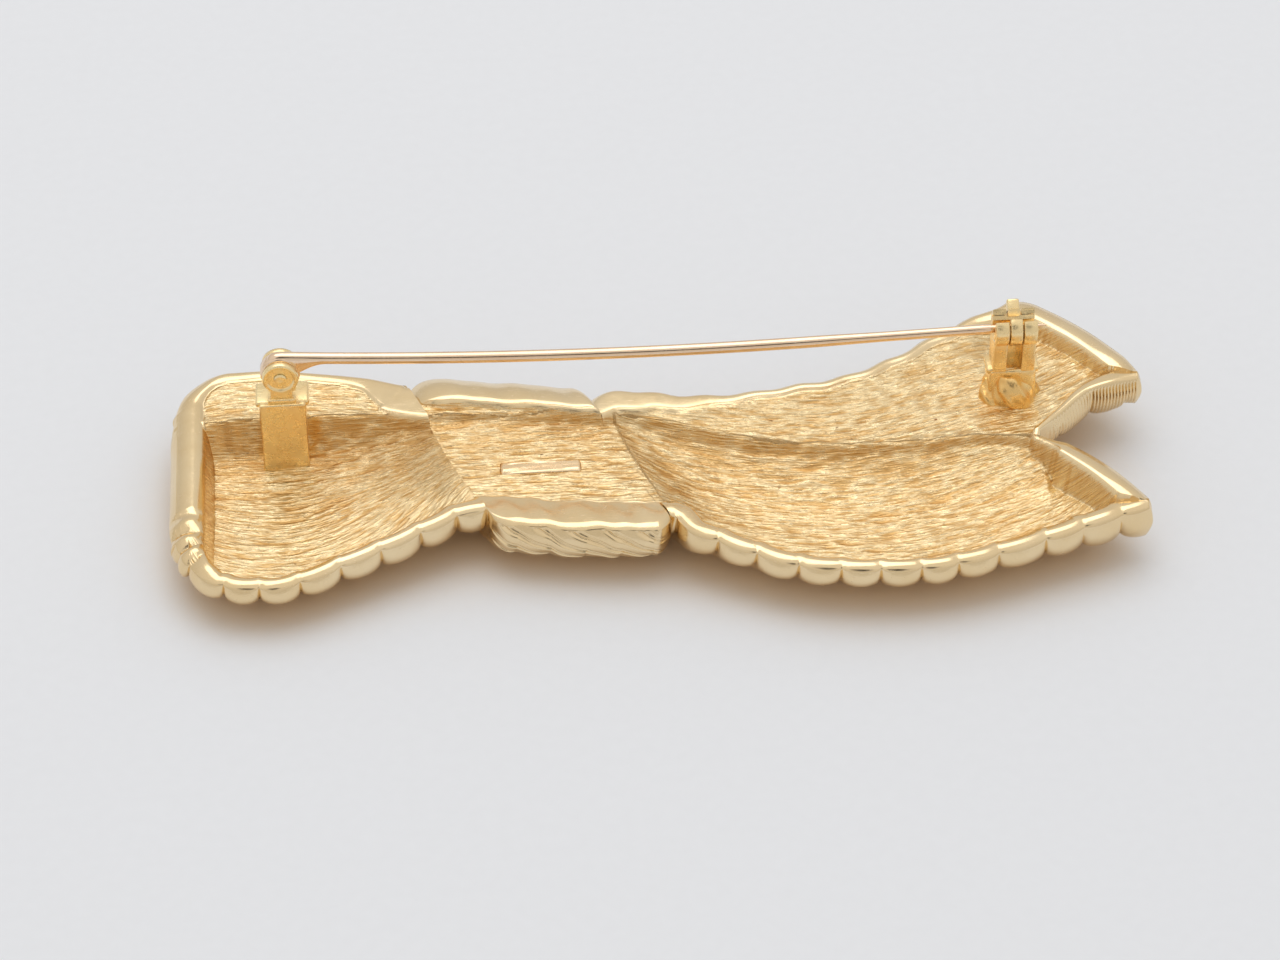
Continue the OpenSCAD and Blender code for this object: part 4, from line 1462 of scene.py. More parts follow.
@dataclass
class PinJoint(Fitting):
    """The joint of the pin: a soldered post, its plate and two round cheeks."""

    post: tuple[float, float] = (3.7, 3.0)
    post_y: float = 8.0
    foot_z: float = 1.3
    top_z: float = 8.7
    plate: Triple = (4.3, 2.6, 0.5)
    cheek_r: float = 1.45
    cheek_t: float = 0.6
    cheek_gap: float = 0.61
    rivet_r: float = 0.5
    neck_w: float = 1.75
    rim_w: float = 0.34
    sunk: float = 0.16
    flare: float = 0.1

    def build(self) -> bpy.types.Object:
        """Builds the joint.

        Returns:
            The finished piece.
        """
        bm = new_bmesh()
        x = self.hinge[0]
        half_w, half_d = self.post[0] / 2, self.post[1] / 2
        box(bm, (x - half_w, self.post_y - half_d, self.foot_z),
            (x + half_w, self.post_y + half_d, self.top_z), 0.14, 9, self.flare_foot)
        front_y = self.post_y + half_d
        box(bm, (x - self.plate[0] / 2, front_y - self.plate[1], self.top_z - self.plate[2]),
            (x + self.plate[0] / 2, front_y, self.top_z + 0.05), 0.2)
        self.cheek(bm, self.pin_y - self.cheek_gap, -1.0)
        self.cheek(bm, self.pin_y + self.cheek_gap, 1.0)
        return self.finish("pin_joint", bm, Body.RIBBON, Slot.FITTINGS, FittingsGold(), "ribbon_body")

    def flare_foot(self, part: Mesh) -> None:
        """Spreads the foot of the post, where solder has run, and makes its faces a little uneven."""
        for vert in part.verts:
            low = float(ease(1 - (vert.co.z - self.foot_z) / 1.6))
            vert.co.x += self.flare * low * (vert.co.x - self.hinge[0]) / (self.post[0] / 2)
            vert.co.y += self.flare * low * (vert.co.y - self.post_y) / (self.post[1] / 2)
        lumpy(part, 0.045, 1.1, 5)

    def cheek(self, bm: Mesh, y: float, side: float) -> None:
        """Adds a cheek with a raised rim on its outer face.

        Args:
            bm: The mesh to add to.
            y: Its inner face.
            side: +1 for the far cheek, -1 for the near one.
        """
        x, z = self.hinge
        t, r = self.cheek_t, self.cheek_r
        bore, face = self.rivet_r + 0.02, t - self.sunk
        profile = [(0, bore), (0, r - 0.08), (0.08, r), (t - 0.12, r), (t - 0.02, r - 0.08),
                   (t, r - 0.5 * self.rim_w), (t - 0.03, r - self.rim_w),
                   (face, r - self.rim_w - 0.1), (face, bore)]
        turned(bm, profile, (x, y, z), Vector((0.0, side, 0.0)))
        low, high = sorted((y, y + side * face))
        box(bm, (x - self.neck_w / 2, low, self.top_z - 0.1),
            (x + self.neck_w / 2, high, z - self.cheek_r + 0.45), 0.08)
        low, high = sorted((y, y + side * t))
        box(bm, (x - self.neck_w / 2 - 0.25, low, self.top_z - 0.1),
            (x + self.neck_w / 2 + 0.25, high, self.top_z + 0.42), 0.14)


@dataclass
class Rivet(Fitting):
    """The rivet of the joint, its ends slightly domed."""

    radius: float = 0.5
    reach: float = 1.21
    sunk: float = 0.06
    proud: float = 0.08

    def build(self) -> bpy.types.Object:
        """Builds the rivet.

        Returns:
            The finished piece.
        """
        bm = new_bmesh()
        x, z = self.hinge
        end, r = self.reach - self.sunk, self.radius
        circle = bmesh.ops.create_circle(bm, cap_ends=True, segments=32, radius=r, matrix=(
            Matrix.Translation((x, self.pin_y - end, z)) @ Matrix.Rotation(math.radians(90), 4, "X")))
        face = circle["verts"][0].link_faces[0]
        made = bmesh.ops.extrude_face_region(bm, geom=[face])
        verts = [v for v in made["geom"] if isinstance(v, bmesh.types.BMVert)]
        bmesh.ops.translate(bm, verts=verts, vec=(0.0, 2 * end, 0.0))
        caps = [f for f in bm.faces if len(f.verts) > 4]
        for cap in caps:
            out = 1.0 if cap.calc_center_median().y > self.pin_y else -1.0
            for inset, rise in ((0.12, 0.06), (0.2, 0.0), (0.1, -0.03)):
                bmesh.ops.inset_individual(bm, faces=[cap], thickness=inset, depth=0.0)
                bmesh.ops.translate(bm, verts=list(cap.verts), vec=(0.0, out * rise, 0.0))
        return self.finish("rivet", bm, Body.RIBBON, Slot.FITTINGS, FittingsGold(), "hinge_rivet")


@dataclass
class CatchHousing(Fitting):
    """The catch's housing: a post in a blob of solder, its plate and two open rings."""

    post: tuple[float, float] = (3.8, 2.2)
    foot_z: float = 4.4
    top_z: float = 8.312
    plate: Triple = (4.3, 1.8, 0.5)
    leg_w: float = 1.6
    slot_w: float = 1.2
    side_gap: float = 0.1
    web_z: float = 9.9

    def build(self) -> bpy.types.Object:
        """Builds the housing.

        Returns:
            The finished piece.
        """
        bm = new_bmesh()
        x = self.catch[0]
        half_w, half_d = self.post[0] / 2, self.post[1] / 2
        box(bm, (x - half_w, self.pin_y - half_d, self.foot_z),
            (x + half_w, self.pin_y + half_d, self.top_z - 0.1), 0.2, 7,
            lambda part: lumpy(part, 0.14, 1.0, 7))
        box(bm, (x - self.catch_l / 2 + 0.2, self.pin_y + 0.3, self.top_z - 0.3),
            (x + self.catch_l / 2 - 0.2, self.pin_y + 0.7, self.web_z), 0.1)
        front_y = self.pin_y + half_d
        box(bm, (x - self.plate[0] / 2, front_y - self.plate[1] - 0.2, self.top_z - self.plate[2]),
            (x + self.plate[0] / 2, front_y, self.top_z), 0.16)
        ring_w = (self.catch_l - self.flange_w) / 2 - self.side_gap
        for low in (x - self.catch_l / 2, x + self.catch_l / 2 - ring_w):
            self.ring(bm, low, low + ring_w)
        return self.finish("catch_housing", bm, Body.RIBBON, Slot.FITTINGS, FittingsGold(), "ribbon_body")

    def ring(self, bm: Mesh, low: float, high: float) -> None:
        """Adds one open ring on its leg.

        Args:
            bm: The mesh to add to.
            low: Its lower x.
            high: Its higher x.
        """
        x, z = self.catch
        half = math.degrees(math.asin(self.slot_w / 2 / self.bore_r))
        turned(bm, rounded_section(low - x, high - x, self.bore_r, self.ring_r, 0.1), (x, self.pin_y, z),
               Vector((1.0, 0.0, 0.0)), half, 360.0 - 2 * half, 44)
        box(bm, (low, self.pin_y - self.leg_w / 2, self.top_z - 0.2),
            (high, self.pin_y + self.leg_w / 2, z - 0.5 * (self.bore_r + self.ring_r)), 0.1)
        for side in (-1.0, 1.0):
            foot, top = sorted((self.pin_y + side * 0.72, self.pin_y + side * 1.12))
            box(bm, (low, foot, self.top_z - 0.2), (high, top, z - 0.75), 0.12)


@dataclass
class Solder(Fitting):
    """The solder that has run round the foot of the catch."""

    middle_z: float = 5.35
    reach: Triple = (2.4, 1.85, 2.3)
    lumps: tuple[tuple[float, float], ...] = ((0.3, 1.5), (0.2, 0.7), (0.1, 0.3))

    def build(self) -> bpy.types.Object:
        """Builds the solder.

        Returns:
            The finished piece.
        """
        bm = new_bmesh()
        part = bmesh.new()
        bmesh.ops.create_icosphere(part, subdivisions=5, radius=1.0, matrix=(
            Matrix.Translation((self.catch[0] - 0.1, self.pin_y - 0.4, self.middle_z))
            @ Matrix.Diagonal((*self.reach, 1.0))))
        for seed, (amount, size) in enumerate(self.lumps):
            lumpy(part, amount, size, 60 + seed)
        take_in(bm, part)
        tone = FittingsGold("solder_gold", (0.99, 0.77, 0.38, 1.0), (0.95, 0.60, 0.22, 1.0))
        return self.finish("catch_solder", bm, Body.RIBBON, Slot.FITTINGS, tone, "ribbon_body")


@dataclass
class Roller(Fitting):
    """The roller of the catch: a slotted tube with a flange and a finger tab."""

    gap: float = 0.05
    inner_r: float = 0.62
    slot_w: float = 1.1
    tab_out: float = 0.8
    tab_turn: float = 50.0
    tab_t: float = 0.7

    def build(self) -> bpy.types.Object:
        """Builds the roller.

        Returns:
            The finished piece.
        """
        bm = new_bmesh()
        x, z = self.catch
        axis = Vector((1.0, 0.0, 0.0))
        mean = (self.inner_r + self.bore_r) / 2
        half = math.degrees(math.asin(self.slot_w / 2 / mean))
        reach = self.catch_l / 2
        turned(bm, rounded_section(-reach, reach, self.inner_r, self.bore_r - self.gap, 0.05),
               (x, self.pin_y, z), axis, half, 360.0 - 2 * half, 48)
        half = math.degrees(math.asin(self.slot_w / 2 / 1.2))
        wide = self.flange_w / 2
        turned(bm, rounded_section(-wide, wide, self.bore_r - 2 * self.gap, self.ring_r, 0.1),
               (x, self.pin_y, z), axis, half, 360.0 - 2 * half, 48)
        turn = Matrix.Rotation(math.radians(-self.tab_turn), 3, "X")
        box(bm, (x - wide, self.pin_y - self.tab_t / 2, z + self.bore_r),
            (x + wide, self.pin_y + self.tab_t / 2, z + self.ring_r + self.tab_out), 0.16, 0,
            lambda part: bmesh.ops.rotate(part, verts=part.verts[:], cent=(x, self.pin_y, z), matrix=turn))
        return self.finish("roller", bm, Body.ROLLER, Slot.FITTINGS, FittingsGold(), "catch_roller")


@dataclass
class Stem(Fitting):
    """The pin stem: a flat eye that narrows into a gently bowed wire with a point."""

    wire_r: float = 0.48
    rise: float = 1.35
    eye_r: float = 1.6
    eye_t: float = 1.1
    bore_r: float = 0.55
    lobe_r: float = 1.15
    bow_r: float = 400.0
    bow_x: float = 2.0
    straight_x: float = 14.0
    tip_r: float = 0.41
    point_r: float = 0.08
    taper_l: float = 5.0
    shank_l: float = 8.2
    point_l: float = 5.2
    neck_l: float = 3.6
    sides: int = 24

    def height(self, x: float) -> float:
        """Height of the wire's middle."""
        top = self.hinge[1] + self.rise
        low = top - self.bow_r * (1 - math.sqrt(1 - ((self.bow_x - self.hinge[0]) / self.bow_r) ** 2))
        if x < self.straight_x:
            return low + self.bow_r - math.sqrt(self.bow_r**2 - (x - self.bow_x) ** 2)
        slope = math.tan(math.asin((self.straight_x - self.bow_x) / self.bow_r))
        return self.height(self.straight_x - 1e-9) + (x - self.straight_x) * slope

    def radius(self, x: float) -> float:
        """Radius of the wire."""
        marks = np.cumsum([self.straight_x, self.taper_l, self.shank_l, self.point_l])
        return float(np.interp(x, marks, [self.wire_r, self.tip_r, self.tip_r, self.point_r]))

    def build(self) -> bpy.types.Object:
        """Builds the stem.

        Returns:
            The finished piece.
        """
        bm = new_bmesh()
        x, z = self.hinge
        t, r = self.eye_t / 2, self.eye_r
        profile = [(-t, self.bore_r), (-t, r - 0.2), (-t + 0.06, r - 0.06), (-t + 0.2, r),
                   (t - 0.2, r), (t - 0.06, r - 0.06), (t, r - 0.2), (t, self.bore_r)]
        turned(bm, profile, (x, self.pin_y, z), Vector((0.0, 1.0, 0.0)), steps=64)
        end = self.straight_x + self.taper_l + self.shank_l + self.point_l
        places = [*(x - before for before in (1.1, 1.05, 0.9, 0.6, 0.2)),
                  *np.linspace(x + 0.2, x + self.neck_l + 1, 14),
                  *np.linspace(x + 6, end - 5.2, 60), *np.linspace(end - 4.8, end, 14)]
        self.loft(bm, [float(p) for p in places])
        return self.finish("pin_stem", bm, Body.PIN, Slot.STEM, RoseStem(), "pin_stem")

    def loft(self, bm: Mesh, places: Sequence[float]) -> None:
        """Extrudes a ring from place to place, flat at the eye and round on the wire.

        Args:
            bm: The mesh to add to.
            places: The x of each ring, rising.
        """
        turn = Matrix.Rotation(math.radians(90), 4, "Y")
        first = bmesh.ops.create_circle(bm, cap_ends=True, segments=self.sides, radius=1.0, matrix=turn)
        ring = first["verts"][0].link_faces[0]
        for k, place in enumerate(places):
            if k:
                last, ring = ring, self.step(bm, ring)
            if k > 1:
                bmesh.ops.delete(bm, geom=[last], context="FACES_ONLY")
            self.shape(ring, place)

    @staticmethod
    def step(bm: Mesh, ring: bmesh.types.BMFace) -> bmesh.types.BMFace:
        """Extrudes one ring and gives back the new one."""
        made = bmesh.ops.extrude_face_region(bm, geom=[ring])["geom"]
        return next(item for item in made if isinstance(item, bmesh.types.BMFace))

    def shape(self, ring: bmesh.types.BMFace, x: float) -> None:
        """Gives a ring the size of the stem at x.

        Args:
            ring: The ring.
            x: Where it goes.
        """
        hinge_x = self.hinge[0]
        flat = float(ease(1 - (x - hinge_x - 0.3) / self.neck_l))
        r = self.radius(x)
        back = max(0.0, hinge_x - x)
        lobe = math.sqrt(max(self.lobe_r**2 - back**2, 0.02)) if x < hinge_x else self.lobe_r
        tall = mix(r, lobe, flat**1.3)
        wide = mix(r, self.eye_t / 2, flat)
        middle = self.height(max(x, hinge_x)) + r - mix(r, self.lobe_r, flat**1.3)
        square = mix(1.0, 0.72, flat)
        count = len(ring.verts)
        for k, vert in enumerate(ring.verts):
            a = 2 * math.pi * k / count
            c, s = math.cos(a), math.sin(a)
            vert.co = (x, self.pin_y + wide * math.copysign(abs(c) ** square, c),
                       middle + tall * math.copysign(abs(s) ** square, s))


class Tree:
    """Short ways to add and link nodes in one node tree."""

    def __init__(self, tree: bpy.types.NodeTree) -> None:
        """Keeps the tree."""
        self.tree = tree

    def add(self, kind: str, **settings: object) -> bpy.types.Node:
        """Adds a node of a type and sets its attributes and, by number or name, its input values.

        Args:
            kind: The node's type.
            settings: Attributes; inputs is a dictionary of socket to value or to an output to link.

        Returns:
            The node.
        """
        inputs = settings.pop("inputs", {})
        node = self.tree.nodes.new(kind)
        for name, value in settings.items():
            setattr(node, name, value)
        for key, value in inputs.items():
            if isinstance(value, Socket):
                self.tree.links.new(value, node.inputs[key])
            else:
                node.inputs[key].default_value = value
        return node

    def math(self, operation: str, a: object, b: object = 0.0) -> Socket:
        """A Math node's result."""
        return self.add("ShaderNodeMath", operation=operation, inputs={0: a, 1: b}).outputs[0]

    def scaled(self, vector: Socket, by: Sequence[float]) -> Socket:
        """A vector stretched along each axis."""
        return self.add("ShaderNodeVectorMath", operation="MULTIPLY", inputs={0: vector, 1: by}).outputs[0]

    def noise(self, vector: Socket, scale: float, detail: float = 2.0,
              roughness: float = 0.5) -> Socket:
        """A Noise Texture's value."""
        inputs = {"Vector": vector, "Scale": scale, "Detail": detail, "Roughness": roughness}
        return self.add("ShaderNodeTexNoise", inputs=inputs).outputs[0]

    def ranged(self, value: Socket, low: float, high: float, to_low: float,
               to_high: float) -> Socket:
        """A value mapped from one range to another and held inside it."""
        inputs = {0: value, 1: low, 2: high, 3: to_low, 4: to_high}
        return self.add("ShaderNodeMapRange", inputs=inputs).outputs[0]

    def bump(self, height: Socket, strength: float, distance: float, **under: Socket) -> Socket:
        """A Bump node's normal, laid over another where Normal is given."""
        inputs = {"Height": height, "Strength": strength, "Distance": distance, **under}
        return self.add("ShaderNodeBump", inputs=inputs).outputs[0]

    def wire(self, shader: bpy.types.Node, colour: Socket, rough: Socket, normal: Socket) -> None:
        """Links a shader's colour, roughness and normal."""
        for name, socket in (("Base Color", colour), ("Roughness", rough), ("Normal", normal)):
            self.tree.links.new(socket, shader.inputs[name])

    def blend(self, factor: object, a: object, b: object, mode: str = "MIX") -> Socket:
        """A colour mix."""
        node = self.add("ShaderNodeMix", data_type="RGBA", blend_type=mode)
        for key, value in ((0, factor), (6, a), (7, b)):
            if isinstance(value, Socket):
                self.tree.links.new(value, node.inputs[key])
            else:
                node.inputs[key].default_value = value
        return node.outputs[2]


def node_group(name: str, ins: Sequence[tuple[str, str]], outs: Sequence[tuple[str, str]],
               fill: Callable[[Tree, dict], dict]) -> bpy.types.NodeTree:
    """Makes a shader node group once, and finds it again after that.

    Args:
        name: The group's name.
        ins: Name and socket type of each input.
        outs: Name and socket type of each output.
        fill: Adds the nodes: it gets the tree and the inputs by name, and gives the outputs by name.

    Returns:
        The group.
    """
    found = bpy.data.node_groups.get(name)
    if found:
        return found
    group = bpy.data.node_groups.new(name, "ShaderNodeTree")
    for label, kind in ins:
        group.interface.new_socket(name=label, in_out="INPUT", socket_type=kind)
    for label, kind in outs:
        group.interface.new_socket(name=label, in_out="OUTPUT", socket_type=kind)
    tree = Tree(group)
    given = group.nodes.new("NodeGroupInput")
    result = group.nodes.new("NodeGroupOutput")
    made = fill(tree, {label: given.outputs[label] for label, _ in ins})
    for label, socket in made.items():
        group.links.new(socket, result.inputs[label])
    return group


VECTOR, FLOAT, COLOUR = "NodeSocketVector", "NodeSocketFloat", "NodeSocketColor"


def fill_hairlines(tree: Tree, given: dict) -> dict:
    """Hairline scratches in two directions and the soft mottle between them."""
    place = given["Place"]
    slanted = tree.add("ShaderNodeMapping", inputs={"Vector": place, "Rotation": (0.3, 0.5, 0.7)}).outputs[0]
    one = tree.noise(tree.scaled(place, (0.35, 9.0, 9.0)), 1.0, 3.0)
    two = tree.noise(tree.scaled(slanted, (7.0, 0.3, 7.0)), 1.0, 3.0)
    lines = tree.math("MAXIMUM", tree.ranged(one, 0.60, 0.72, 0.0, 1.0),
                      tree.ranged(two, 0.62, 0.74, 0.0, 1.0))
    mottle = tree.noise(place, 1.1, 4.0, 0.6)
    height = tree.math("SUBTRACT", mottle, tree.math("MULTIPLY", lines, given["Depth"]))
    return {"Lines": lines, "Mottle": mottle, "Height": height}


def fill_combed(tree: Tree, given: dict) -> dict:
    """The finest combed ridges of the hollow, with small dark specks in them."""
    flow = given["Flow"]
    fine = tree.noise(tree.scaled(flow, (0.6, 5.2, 0.0)), 1.0, 3.0, 0.55)
    torn = tree.noise(tree.scaled(flow, (1.0, 2.8, 0.0)), 1.0, 3.0, 0.55)
    height = tree.math("ADD", tree.math("MULTIPLY", fine, 0.65), tree.math("MULTIPLY", torn, 0.5))
    specks = tree.ranged(tree.noise(tree.scaled(flow, (1.6, 2.4, 0.0)), 1.0, 2.0), 0.70, 0.78, 0.0, 1.0)
    return {"Height": height, "Specks": specks}


def fill_drift(tree: Tree, given: dict) -> dict:
    """A slow drift between two tones of the same plating."""
    wide = tree.noise(given["Place"], 0.13, 2.0)
    close = tree.noise(given["Place"], 0.9, 3.0)
    mask = tree.ranged(tree.math("ADD", wide, tree.math("MULTIPLY", close, 0.35)), 0.5, 0.85, 0.0, 1.0)
    return {"Color": tree.blend(mask, given["Light"], given["Deep"]), "Mask": mask}


@dataclass(frozen=True)
class Finish:
    """A plated metal: its two tones and how rough and marked it is."""

    name: str = "plating"
    light: Colour = (0.90, 0.72, 0.45, 1.0)
    deep: Colour = (0.86, 0.66, 0.38, 1.0)
    rough_low: float = 0.12
    rough_high: float = 0.24
    bump: float = 0.03
    scratch: float = 0.35
    scratch_distance: float = 0.00004
    line_rough: float = 0.12

    def material(self) -> bpy.types.Material:
        """The finished material, made once."""
        found = bpy.data.materials.get(self.name)
        if found:
            return found
        made = bpy.data.materials.new(self.name)
        made.use_nodes = True
        made.node_tree.nodes.clear()
        tree = Tree(made.node_tree)
        shader = tree.add("ShaderNodeBsdfPrincipled", inputs={"Metallic": 1.0})
        out = tree.add("ShaderNodeOutputMaterial")
        made.node_tree.links.new(shader.outputs[0], out.inputs[0])
        place = tree.add("ShaderNodeVectorMath", operation="SCALE", inputs={
            0: tree.add("ShaderNodeTexCoord").outputs["Object"], "Scale": 1.0 / MM}).outputs[0]
        self.paint(tree, place, shader)
        return made

    def groups(self, tree: Tree, place: Socket) -> tuple[bpy.types.Node, bpy.types.Node]:
        """The hairlines and the drift of tone that every plated part has."""
        lines = tree.add("ShaderNodeGroup", node_tree=node_group(
            "hairlines", [("Place", VECTOR), ("Depth", FLOAT)],
            [("Lines", FLOAT), ("Mottle", FLOAT), ("Height", FLOAT)], fill_hairlines),
            inputs={"Place": place, "Depth": self.scratch})
        drift = tree.add("ShaderNodeGroup", node_tree=node_group(
            "tone_drift", [("Place", VECTOR), ("Light", COLOUR), ("Deep", COLOUR)],
            [("Color", COLOUR), ("Mask", FLOAT)], fill_drift),
            inputs={"Place": place, "Light": self.light, "Deep": self.deep})
        return lines, drift

    def polish(self, tree: Tree, lines: bpy.types.Node) -> tuple[Socket, Socket]:
        """Roughness and normal of the polished metal."""
        mottle = tree.ranged(lines.outputs["Mottle"], 0.3, 0.7, self.rough_low, self.rough_high)
        rough = tree.math("ADD", mottle, tree.math("MULTIPLY", lines.outputs["Lines"], self.line_rough))
        return rough, tree.bump(lines.outputs["Height"], self.bump, self.scratch_distance)

    def paint(self, tree: Tree, place: Socket, shader: bpy.types.Node) -> None:
        """Links colour, roughness and bump.

        Args:
            tree: The material's tree.
            place: Object coordinates in millimetres.
            shader: The Principled BSDF.
        """
        lines, drift = self.groups(tree, place)
        tree.wire(shader, drift.outputs["Color"], *self.polish(tree, lines))


@dataclass(frozen=True)
class CastGold(Finish):
    """Gold plate: polished on lips and walls, combed and duller in the hollow, with shade painted into the
    hollow's grooves.
    """

    name: str = "cast_gold_plate"
    hollow_light: Colour = (0.97, 0.79, 0.48, 1.0)
    # Painted shade: the darker tone the hollow takes in its grooves, its low spots and by the fold's step.
    hollow_shade_tone: Colour = (0.74, 0.47, 0.19, 1.0)
    speck_tone: Colour = (0.30, 0.13, 0.05, 1.0)
    hollow_rough: tuple[float, float] = (0.24, 0.38)
    bump: float = 0.10
    line_rough: float = 0.10
    comb_bump: float = 0.85
    comb_distance: float = 0.00024

    def paint(self, tree: Tree, place: Socket, shader: bpy.types.Node) -> None:
        """Links colour, roughness and bump, by how rough the skin is.

        Args:
            tree: The material's tree.
            place: Object coordinates in millimetres.
            shader: The Principled BSDF.
        """
        lines, drift = self.groups(tree, place)
        hollow = tree.add("ShaderNodeAttribute", attribute_name="hollow").outputs["Fac"]
        flow = tree.add("ShaderNodeAttribute", attribute_name="flow").outputs["Vector"]
        comb = tree.add("ShaderNodeGroup", node_tree=node_group(
            "combed_skin", [("Flow", VECTOR)], [("Height", FLOAT), ("Specks", FLOAT)], fill_combed),
            inputs={"Flow": flow})
        # Painted shade: the hollow's colour goes towards the shaded tone in the grooves of the combed
        # ridges, and where the relief value is low (low spots of the grain and beside the fold's step).
        deep = tree.math("MULTIPLY", tree.ranged(comb.outputs["Height"], 0.47, 0.62, 1.0, 0.0), 0.75)
        relief = tree.add("ShaderNodeSeparateXYZ", inputs={0: flow}).outputs[2]
        deep = tree.math("ADD", deep, tree.ranged(relief, 0.0, 0.7, 0.8, 0.0))
        inner = tree.blend(deep, self.hollow_light, self.hollow_shade_tone)
        # Small dark brown specks over the hollow.
        inner = tree.blend(comb.outputs["Specks"], inner, self.speck_tone)
        colour = tree.blend(hollow, drift.outputs["Color"], inner)
        polish, under = self.polish(tree, lines)
        dull = tree.ranged(comb.outputs["Height"], 0.4, 0.7, self.hollow_rough[1], self.hollow_rough[0])
        rough = tree.add("ShaderNodeMix", data_type="FLOAT",
                         inputs={0: hollow, 2: polish, 3: dull}).outputs[0]
        height = tree.math("MULTIPLY", comb.outputs["Height"], hollow)
        tree.wire(shader, colour, rough, tree.bump(height, self.comb_bump, self.comb_distance, Normal=under))


@dataclass(frozen=True)
class FittingsGold(Finish):
    """Gold plate on soldered fittings, with faintly uneven faces."""

    name: str = "fittings_gold_plate"
    light: Colour = (0.99, 0.82, 0.47, 1.0)
    deep: Colour = (0.98, 0.72, 0.36, 1.0)
    rough_low: float = 0.18
    rough_high: float = 0.36
    bump: float = 0.35
    scratch_distance: float = 0.00006


@dataclass(frozen=True)
class RoseStem(Finish):
    """Drawn wire in rose gold, with fine lines along it."""

    name: str = "rose_wire"
    light: Colour = (0.93, 0.72, 0.52, 1.0)
    deep: Colour = (0.86, 0.62, 0.42, 1.0)
    rough_low: float = 0.10
    rough_high: float = 0.20
    bump: float = 0.15


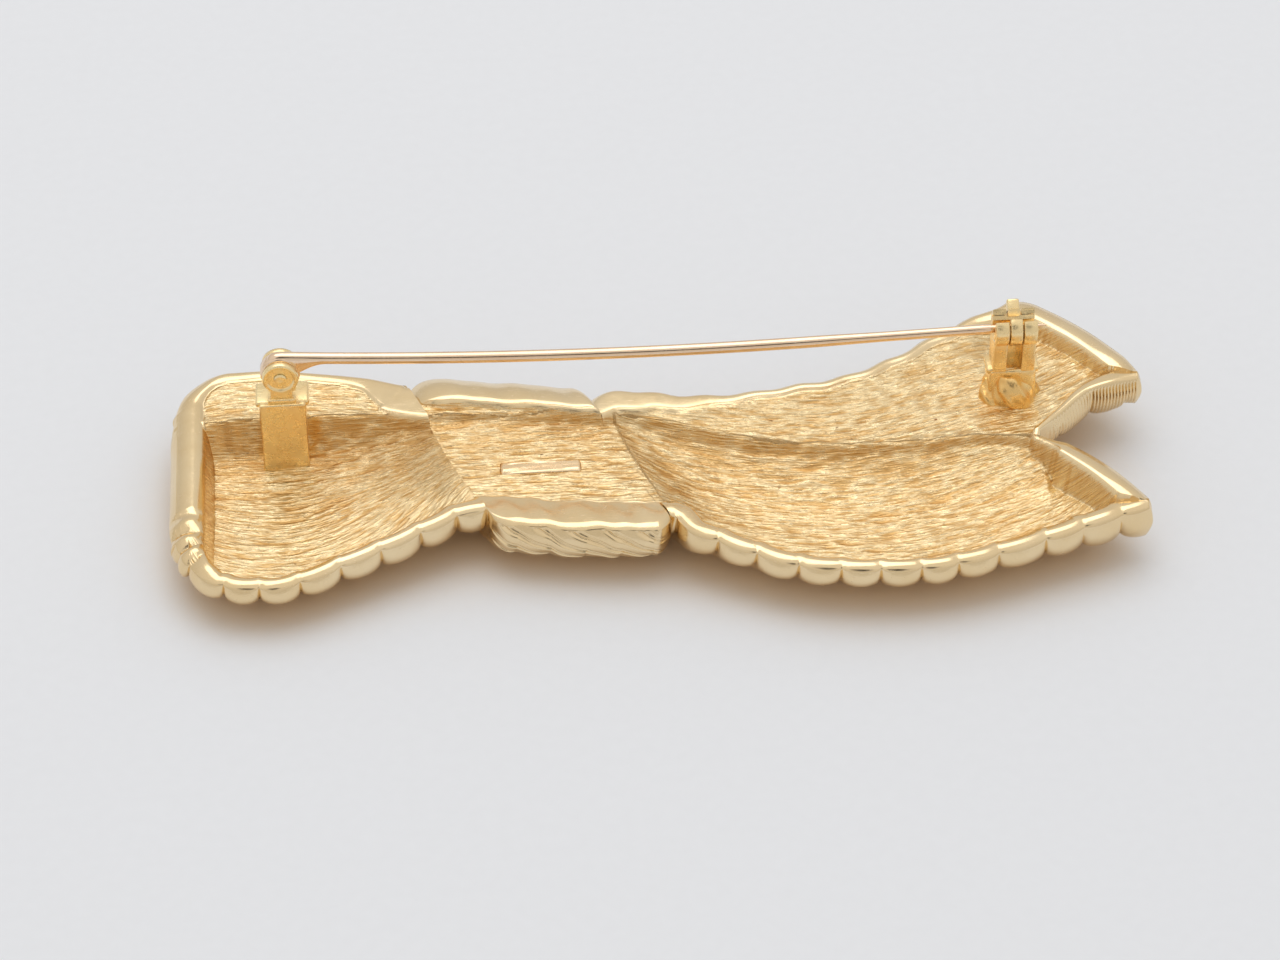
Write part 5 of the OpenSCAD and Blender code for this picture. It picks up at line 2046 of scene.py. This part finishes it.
@dataclass(frozen=True)
class Studio:
    """A pale table under soft light, and the camera at the photograph's angle.

    The view centre and the scale are in pixels of the 1280 by 960 image.
    """

    elevation_deg: float = 41.0
    azimuth_deg: float = -4.5
    distance: float = 300.0
    px_per_mm: float = 12.4
    target: Triple = (0.0, 3.0, 5.0)
    centre_px: tuple[float, float] = (652.0, 450.0)
    image_px: tuple[int, int] = (1280, 960)
    sensor_mm: float = 36.0
    floor_size: float = 6.0
    floor_tone: Colour = (0.81, 0.83, 0.87, 1.0)
    # Painted shadow on the table near the brooch: its warm tone and how far it reaches.
    painted_shadow_tone: Colour = (0.78, 0.62, 0.45, 1.0)
    painted_shadow_reach: float = 0.009
    key_size: float = 0.55
    key_power: float = 1.15
    key_at: Triple = (-0.05, 0.16, 0.62)
    sky_low: float = 0.60
    sky_high: float = 0.80
    dark_aim: Triple = (-0.05, -0.80, 0.60)
    dark_edge: tuple[float, float] = (0.955, 0.99)
    dark_left: float = 0.08
    room_tone: Colour = (1.0, 0.97, 0.93, 1.0)
    key_tone: Triple = (0.94, 0.97, 1.0)
    fleck_tone: Colour = (0.5, 0.5, 0.52, 1.0)

    def build(self) -> None:
        """Builds the table, the lights and the camera."""
        self.table()
        self.world()
        self.lamps()
        self.camera()

    def table(self) -> None:
        """Lays the pale table top, with faint flecks and a warm shadow painted where the brooch comes close.
        """
        bm = bmesh.new()
        bmesh.ops.create_grid(bm, x_segments=2, y_segments=2, size=self.floor_size / 2)
        mesh = bpy.data.meshes.new("table_top")
        bm.to_mesh(mesh)
        bm.free()
        top = bpy.data.objects.new("table_top", mesh)
        bpy.context.scene.collection.objects.link(top)
        paint = bpy.data.materials.new("table_paint")
        paint.use_nodes = True
        tree = Tree(paint.node_tree)
        shader = paint.node_tree.nodes["Principled BSDF"]
        shader.inputs["Roughness"].default_value = 0.75
        place = tree.add("ShaderNodeTexCoord").outputs["Object"]
        fleck = tree.ranged(tree.noise(place, 900.0, 3.0), 0.3, 0.7, 0.0, 0.035)
        tone = tree.blend(fleck, self.floor_tone, self.fleck_tone)
        # Painted shadow: the table is tinted warm brown where the brooch is near, for the shadow and the
        # gold's bounced light there.
        near = tree.add("ShaderNodeAmbientOcclusion", samples=6, inputs={"Distance": self.painted_shadow_reach})
        tone = tree.blend(tree.ranged(near.outputs["AO"], 0.2, 0.8, 1.0, 0.0), tone, self.painted_shadow_tone)
        paint.node_tree.links.new(tone, shader.inputs["Base Color"])
        mesh.materials.append(paint)

    def world(self) -> None:
        """Makes a soft room that is brighter overhead and dark where the camera stands."""
        world = bpy.data.worlds.new("soft_room")
        bpy.context.scene.world = world
        world.use_nodes = True
        tree = Tree(world.node_tree)
        background = world.node_tree.nodes["Background"]
        ray = tree.add("ShaderNodeTexCoord").outputs["Generated"]
        up = tree.add("ShaderNodeSeparateXYZ", inputs={0: ray}).outputs[2]
        room = tree.ranged(up, 0.0, 0.8, self.sky_low, self.sky_high)
        aim = Vector(self.dark_aim).normalized()
        facing = tree.add("ShaderNodeVectorMath", operation="DOT_PRODUCT", inputs={0: ray, 1: aim})
        dark = tree.ranged(facing.outputs["Value"], *self.dark_edge, 1.0, self.dark_left)
        light = tree.math("MULTIPLY", room, dark)
        tone = tree.blend(1.0, self.room_tone, light, "MULTIPLY")
        world.node_tree.links.new(tone, background.inputs[0])

    def lamps(self) -> None:
        """Hangs the softbox over the brooch."""
        data = bpy.data.lights.new("softbox", "AREA")
        data.shape = "RECTANGLE"
        data.size = self.key_size
        data.size_y = self.key_size
        data.energy = self.key_power
        data.color = self.key_tone
        lamp = bpy.data.objects.new("softbox", data)
        lamp.location = self.key_at
        lamp.rotation_euler = (-lamp.location).to_track_quat("-Z", "Y").to_euler()
        bpy.context.scene.collection.objects.link(lamp)

    def camera(self) -> None:
        """Sets the camera, moved sideways and down to frame as the photograph does."""
        e, a = math.radians(self.elevation_deg), math.radians(self.azimuth_deg)
        back = Vector((math.sin(a) * math.cos(e), -math.cos(a) * math.cos(e), math.sin(e)))
        right = (-back).cross(Vector((0.0, 0.0, 1.0))).normalized()
        up = back.cross(right)
        off = [(self.centre_px[0] - self.image_px[0] / 2) / self.px_per_mm,
               (self.image_px[1] / 2 - self.centre_px[1]) / self.px_per_mm]
        place = Vector(self.target) - Vector((*PLAN_MID, 0.0)) + back * self.distance
        place = place - right * off[0] - up * off[1]
        data = bpy.data.cameras.new("camera")
        data.sensor_width = self.sensor_mm
        data.lens = self.px_per_mm * self.distance / self.image_px[0] * self.sensor_mm
        data.clip_start = 0.01
        camera = bpy.data.objects.new("camera", data)
        camera.location = place * MM
        camera.rotation_euler = (-back).to_track_quat("-Z", "Y").to_euler()
        bpy.context.scene.collection.objects.link(camera)
        bpy.context.scene.camera = camera


def main() -> None:
    """Builds the brooch and its studio."""
    logging.basicConfig(level=logging.INFO, format="%(message)s")
    bpy.context.scene.view_settings.view_transform = "Standard"
    parts = (ShortTail, KnotBand, ForkedTails, Plaque, PinJoint, Rivet, CatchHousing, Solder, Roller, Stem)
    for part in parts:
        piece = part().build()
        LOG.info("%s done: %d vertices", piece.name, len(piece.data.vertices))
    Studio().build()


if __name__ == "__main__":
    main()
